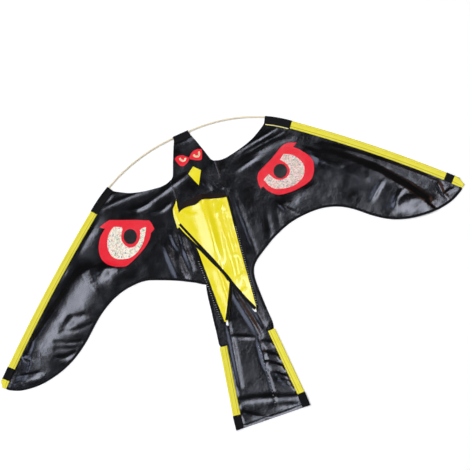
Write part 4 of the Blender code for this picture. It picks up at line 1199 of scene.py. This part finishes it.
def lower_rise(x, drop):
    """The lower half lies flat where the right panel covers it, and swells where it is free."""
    free = smooth((drop - 330) / 50)
    ridge = np.exp(-(((x + 15) / np.where(x < -15, 14.0, 7.0)) ** 2))
    return 0.95 + free * (2.4 * ridge + 0.3 * np.maximum(ripple(x, drop, 14.0, 3.0), -0.5))


def upper_rise(x, drop):
    """The upper half lies on the lower one, with the spike at its front rolled over."""
    rolled = 2.2 * np.exp(-(((x + 71) / 5) ** 2)) * smooth((232 - drop) / 20)
    return lower_rise(x, drop) + 1.5 + rolled


def build_right_keel():
    """The panel on top, its rear tape and the black tape at its mouth, which has a brown sheen painted on it.
    """
    hem_path = even_path(REAR_INNER, HEM_STEP)
    width = 5.6 + 2.0 * smooth((hem_path[:, 1] - 300) / 70)
    outer = hem_path + side_normals(hem_path) * width[:, None]
    outline = joined(
        MOUTH_EDGE,
        RIGHT_SEAM,
        [RIGHT_SEAM[-1], tuple(outer[-1])],
        outer[::-1],
        [tuple(outer[0]), RIGHT_FRONT[0]],
        RIGHT_FRONT,
    )
    panel = cut_cloth("right_keel_cloth", outline, keel_rise, 2.5)
    right = ("right_keel", keel_bend(1))
    dress(panel, YELLOW_CLOTH, "yellow_cloth", "body", ["right_keel_panel"], *right)
    hem = make_band("right_keel_rear_tape", hem_path, width, keel_rise, lift=0.7)
    dress(hem, BLACK_TAPE, "black_tape", "body", ["right_rear_hem"], *right)
    outline = np.vstack([even_path(MOUTH_EDGE[:-1] + (MOUTH_CORNER,), 2.5), even_path(MOUTH_FOOT, 2.5)])
    mouth = cut_cloth("right_keel_mouth_tape", outline, above(keel_rise, 0.7), 2.5)
    dress(mouth, BROWN_SHEEN_TAPE, "black_tape", "body", ["right_mouth_hem"], *right)

    def tape_rise(x, drop):
        return keel_rise(x, drop - 2.0)

    stitch_row(("right_keel", BLACK_THREAD), MOUTH_FOOT[1:-1], tape_rise, lift=1.3)


def build_left_keel():
    """The panel underneath, in two halves that meet at its fold, each with its tapes."""
    outline = joined(
        [LOWER_SEAM[0], RIDGE_START],
        [RIDGE_START, RIDGE_END],
        [RIDGE_END, LOWER_EDGE[0]],
        LOWER_EDGE,
        [LOWER_EDGE[-1], LOWER_SEAM[-1]],
        LOWER_SEAM[::-1],
    )
    lower = cut_cloth("left_keel_lower_cloth", outline, lower_rise, 2.5)
    left = ("left_keel_lower_body", keel_bend(-1))
    dress(lower, YELLOW_CLOTH, "yellow_cloth", "body", ["left_keel_lower"], *left)
    hem = make_band("left_keel_rear_tape", even_path(LOWER_EDGE, HEM_STEP), 8.0, lower_rise, lift=0.7)
    dress(hem, BLACK_TAPE, "black_tape", "body", ["left_rear_hem_lower"], *left)
    path = np.linspace((-55.5, 188.3), (RIDGE_X, 188.3), 19)
    mouth = make_band("left_keel_mouth_tape", path, MOUTH_HEM_WIDTH, lower_rise)
    dress(mouth, BLACK_TAPE, "black_tape", "body", ["left_mouth_hem_lower"], *left)

    outline = joined(
        SPIKE_LEFT,
        UPPER_EDGE,
        [UPPER_EDGE[-1], RIDGE_END],
        [RIDGE_END, RIDGE_START],
        [RIDGE_START, SPIKE_RIGHT[0]],
        SPIKE_RIGHT,
    )
    upper = cut_cloth("left_keel_upper_cloth", outline, upper_rise, 2.0)
    dress(upper, YELLOW_CLOTH, "yellow_cloth", "left_keel_upper_body", ["left_keel_upper"])
    path = even_path(UPPER_EDGE, HEM_STEP)[::-1]
    hem = make_band("left_keel_upper_rear_tape", path, 5.6, upper_rise)
    dress(hem, BLACK_TAPE, "black_tape", "left_keel_upper_body", ["left_rear_hem_upper"])
    path = np.linspace((-60.0, 185.8), (RIDGE_X, 188.2), 21)
    mouth = make_band("left_keel_upper_mouth_tape", path, MOUTH_HEM_WIDTH, upper_rise, lift=0.5)
    dress(mouth, BLACK_TAPE, "black_tape", "left_keel_upper_body", ["left_mouth_hem_upper"])


# Seams

# The row of white stitches down the tail, which stand for the glints along its crease as painted highlights,
# and where the rows beside the belly start and end
TAIL_GLINT_MARKS = ((19, 598), (20, 640), (18, 690), (15, 755))
BELLY_STITCHES = {"left": (330, 500), "right": (285, 504)}


def build_seams():
    """The felled seams that join the panels: a narrow raised strip, with stitches where they show."""
    white = ("body", WHITE_THREAD)
    for name, side in SIDES:
        neck = [(side * (seam_x(drop) + 0.3), drop) for drop in np.linspace(104, 154, 10)]
        belly = [(side * (seam_x(drop) + 1.8), drop) for drop in np.linspace(206, 508, 40)]
        neck, belly = even_path(neck, HEM_STEP), even_path(belly, HEM_STEP)
        if side > 0:
            neck, belly = neck[::-1], belly[::-1]
        strip = make_band(f"{name}_neck_seam", neck, 3.6, cloth_rise, lift=0.45, crown=0.35)
        dress(strip, BLACK_CLOTH, "black_tape", "body")
        strip = make_band(f"{name}_belly_seam", belly, 5.5, cloth_rise, lift=0.5, crown=0.5)
        dress(strip, BLACK_TAPE, "black_tape", "body")
        path = belly + side_normals(belly) * 2.7
        start, end = BELLY_STITCHES[name]
        path = path[(path[:, 1] > start) & (path[:, 1] < end)]
        stitch_row(white, path, cloth_rise, pitch=6.4, lift=1.4, length=5.4, girth=0.5, lean=0.9)
    # White stitches down the tail's crease: painted highlights in place of its glints
    stitch_row(("tail", WHITE_THREAD), TAIL_GLINT_MARKS, cloth_rise, pitch=9.0, lift=0.7, length=4.0, girth=0.4)


def finish_stitches():
    """Makes each group of stitches one piece and attaches it to its group's body. Those along a trailing edge
    are left unattached, baked where they stand.
    """
    for (group, thread), stitches in THREADS.items():
        rows = finish_mesh(f"{group}_{thread.name.split()[0]}_stitches", stitches)
        name, kind = group.split("_")[0], group.split("_")[-1]
        if kind == "edge":
            dress(rows, thread, None, "body", (), f"{name}_wing", wing_bend(dict(SIDES)[name]))
        else:
            dress(rows, thread, None, group)


# Rods, ferrule and caps, which stay as the CAD has them

FINISHES = {"spar_ferrule": BRASS}
for end in ("left", "right"):
    FINISHES.update({f"{end}_wing_spar": FIBREGLASS, f"{end}_spar_cap": VINYL, f"{end}_tail_rod": FIBREGLASS})


def finish_rods():
    for name, finish in FINISHES.items():
        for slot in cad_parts[name].material_slots:
            slot.material = finish


# Floor, light and camera

# The share of white that the floor adds where it is seen, so that its lit paper comes out white
FLOOR_GLOW = 0.16
FLOOR_Z = -0.3

# Each softbox: its place and size in metres, its power in watts and its tint
LAMPS = {
    "strip softbox": ((-1.85, 1.42, 9.0), (7.5, 1.5), 400, "#f4f7ff"),
    "wide softbox": ((0.0, -1.65, 9.0), (13.0, 7.4), 430, "#ffffff"),
    "side softbox": ((-5.5, 4.0, 7.0), (3.4, 3.4), 175, "#dce6ff"),
    "warm reflector": ((2.1, 4.4, 7.5), (2.2, 2.6), 26, "#ffb48c"),
}

# The camera, solved from the mirrored outline of the kite in the photograph
CAMERA_PLACE = (1.80987, -4.33039, 8.22827)
CAMERA_TURN = (22.9296, 19.9415, -17.1398)
CAMERA_LENS = 310.37


def build_floor():
    bm = bmesh.new()
    bmesh.ops.create_grid(bm, x_segments=1, y_segments=1, size=12)
    for vert in bm.verts:
        vert.co.z = FLOOR_Z * MM
    floor = finish_mesh("studio_floor", bm)
    material, tree = own_material("white paper backdrop")
    paper = add_node(tree, "ShaderNodeBsdfDiffuse", {"Color": colour("#f7f7f7")})
    rays = add_node(tree, "ShaderNodeLightPath").outputs
    seen = rays["Is Camera Ray"]
    for kind in ("Is Glossy Ray", "Is Transmission Ray"):
        seen = add_node(tree, "ShaderNodeMath", {0: seen, 1: rays[kind]}, operation="ADD").outputs[0]
    share = add_node(tree, "ShaderNodeMath", {0: seen, 1: FLOOR_GLOW}, operation="MULTIPLY")
    glow = add_node(tree, "ShaderNodeEmission", {"Strength": share.outputs[0]})
    shader = add_node(tree, "ShaderNodeAddShader", {0: paper.outputs[0], 1: glow.outputs[0]})
    add_node(tree, "ShaderNodeOutputMaterial", {"Surface": shader.outputs[0]})
    floor.data.materials.append(material)


def add_lamp(name, place, size, power, tint):
    data = bpy.data.lights.new(name, "AREA")
    data.shape = "RECTANGLE"
    data.size, data.size_y = size
    data.energy = power
    data.color = colour(tint)[:3]
    lamp = bpy.data.objects.new(name, data)
    lamp.location = place
    lamp.rotation_euler = Vector(place).to_track_quat("Z", "Y").to_euler()
    bpy.context.scene.collection.objects.link(lamp)


def build_light():
    world = bpy.data.worlds.new("studio")
    world.use_nodes = True
    sky = world.node_tree.nodes["Background"].inputs
    sky["Color"].default_value = colour("#fafafa")
    sky["Strength"].default_value = 0.09
    bpy.context.scene.world = world
    for name, (place, size, power, tint) in LAMPS.items():
        add_lamp(name, place, size, power, tint)


def build_camera():
    data = bpy.data.cameras.new("camera")
    data.lens = CAMERA_LENS
    data.sensor_width = 36
    camera = bpy.data.objects.new("camera", data)
    camera.location = CAMERA_PLACE
    camera.rotation_euler = Euler([math.radians(turn) for turn in CAMERA_TURN])
    bpy.context.scene.collection.objects.link(camera)
    bpy.context.scene.camera = camera


for wing_name, wing_side in SIDES:
    build_wing(wing_name, wing_side)
build_head()
build_back()
build_tail()
build_right_keel()
build_left_keel()
build_seams()
finish_stitches()
finish_rods()
build_floor()
build_light()
build_camera()
bpy.context.scene.view_settings.view_transform = "Standard"
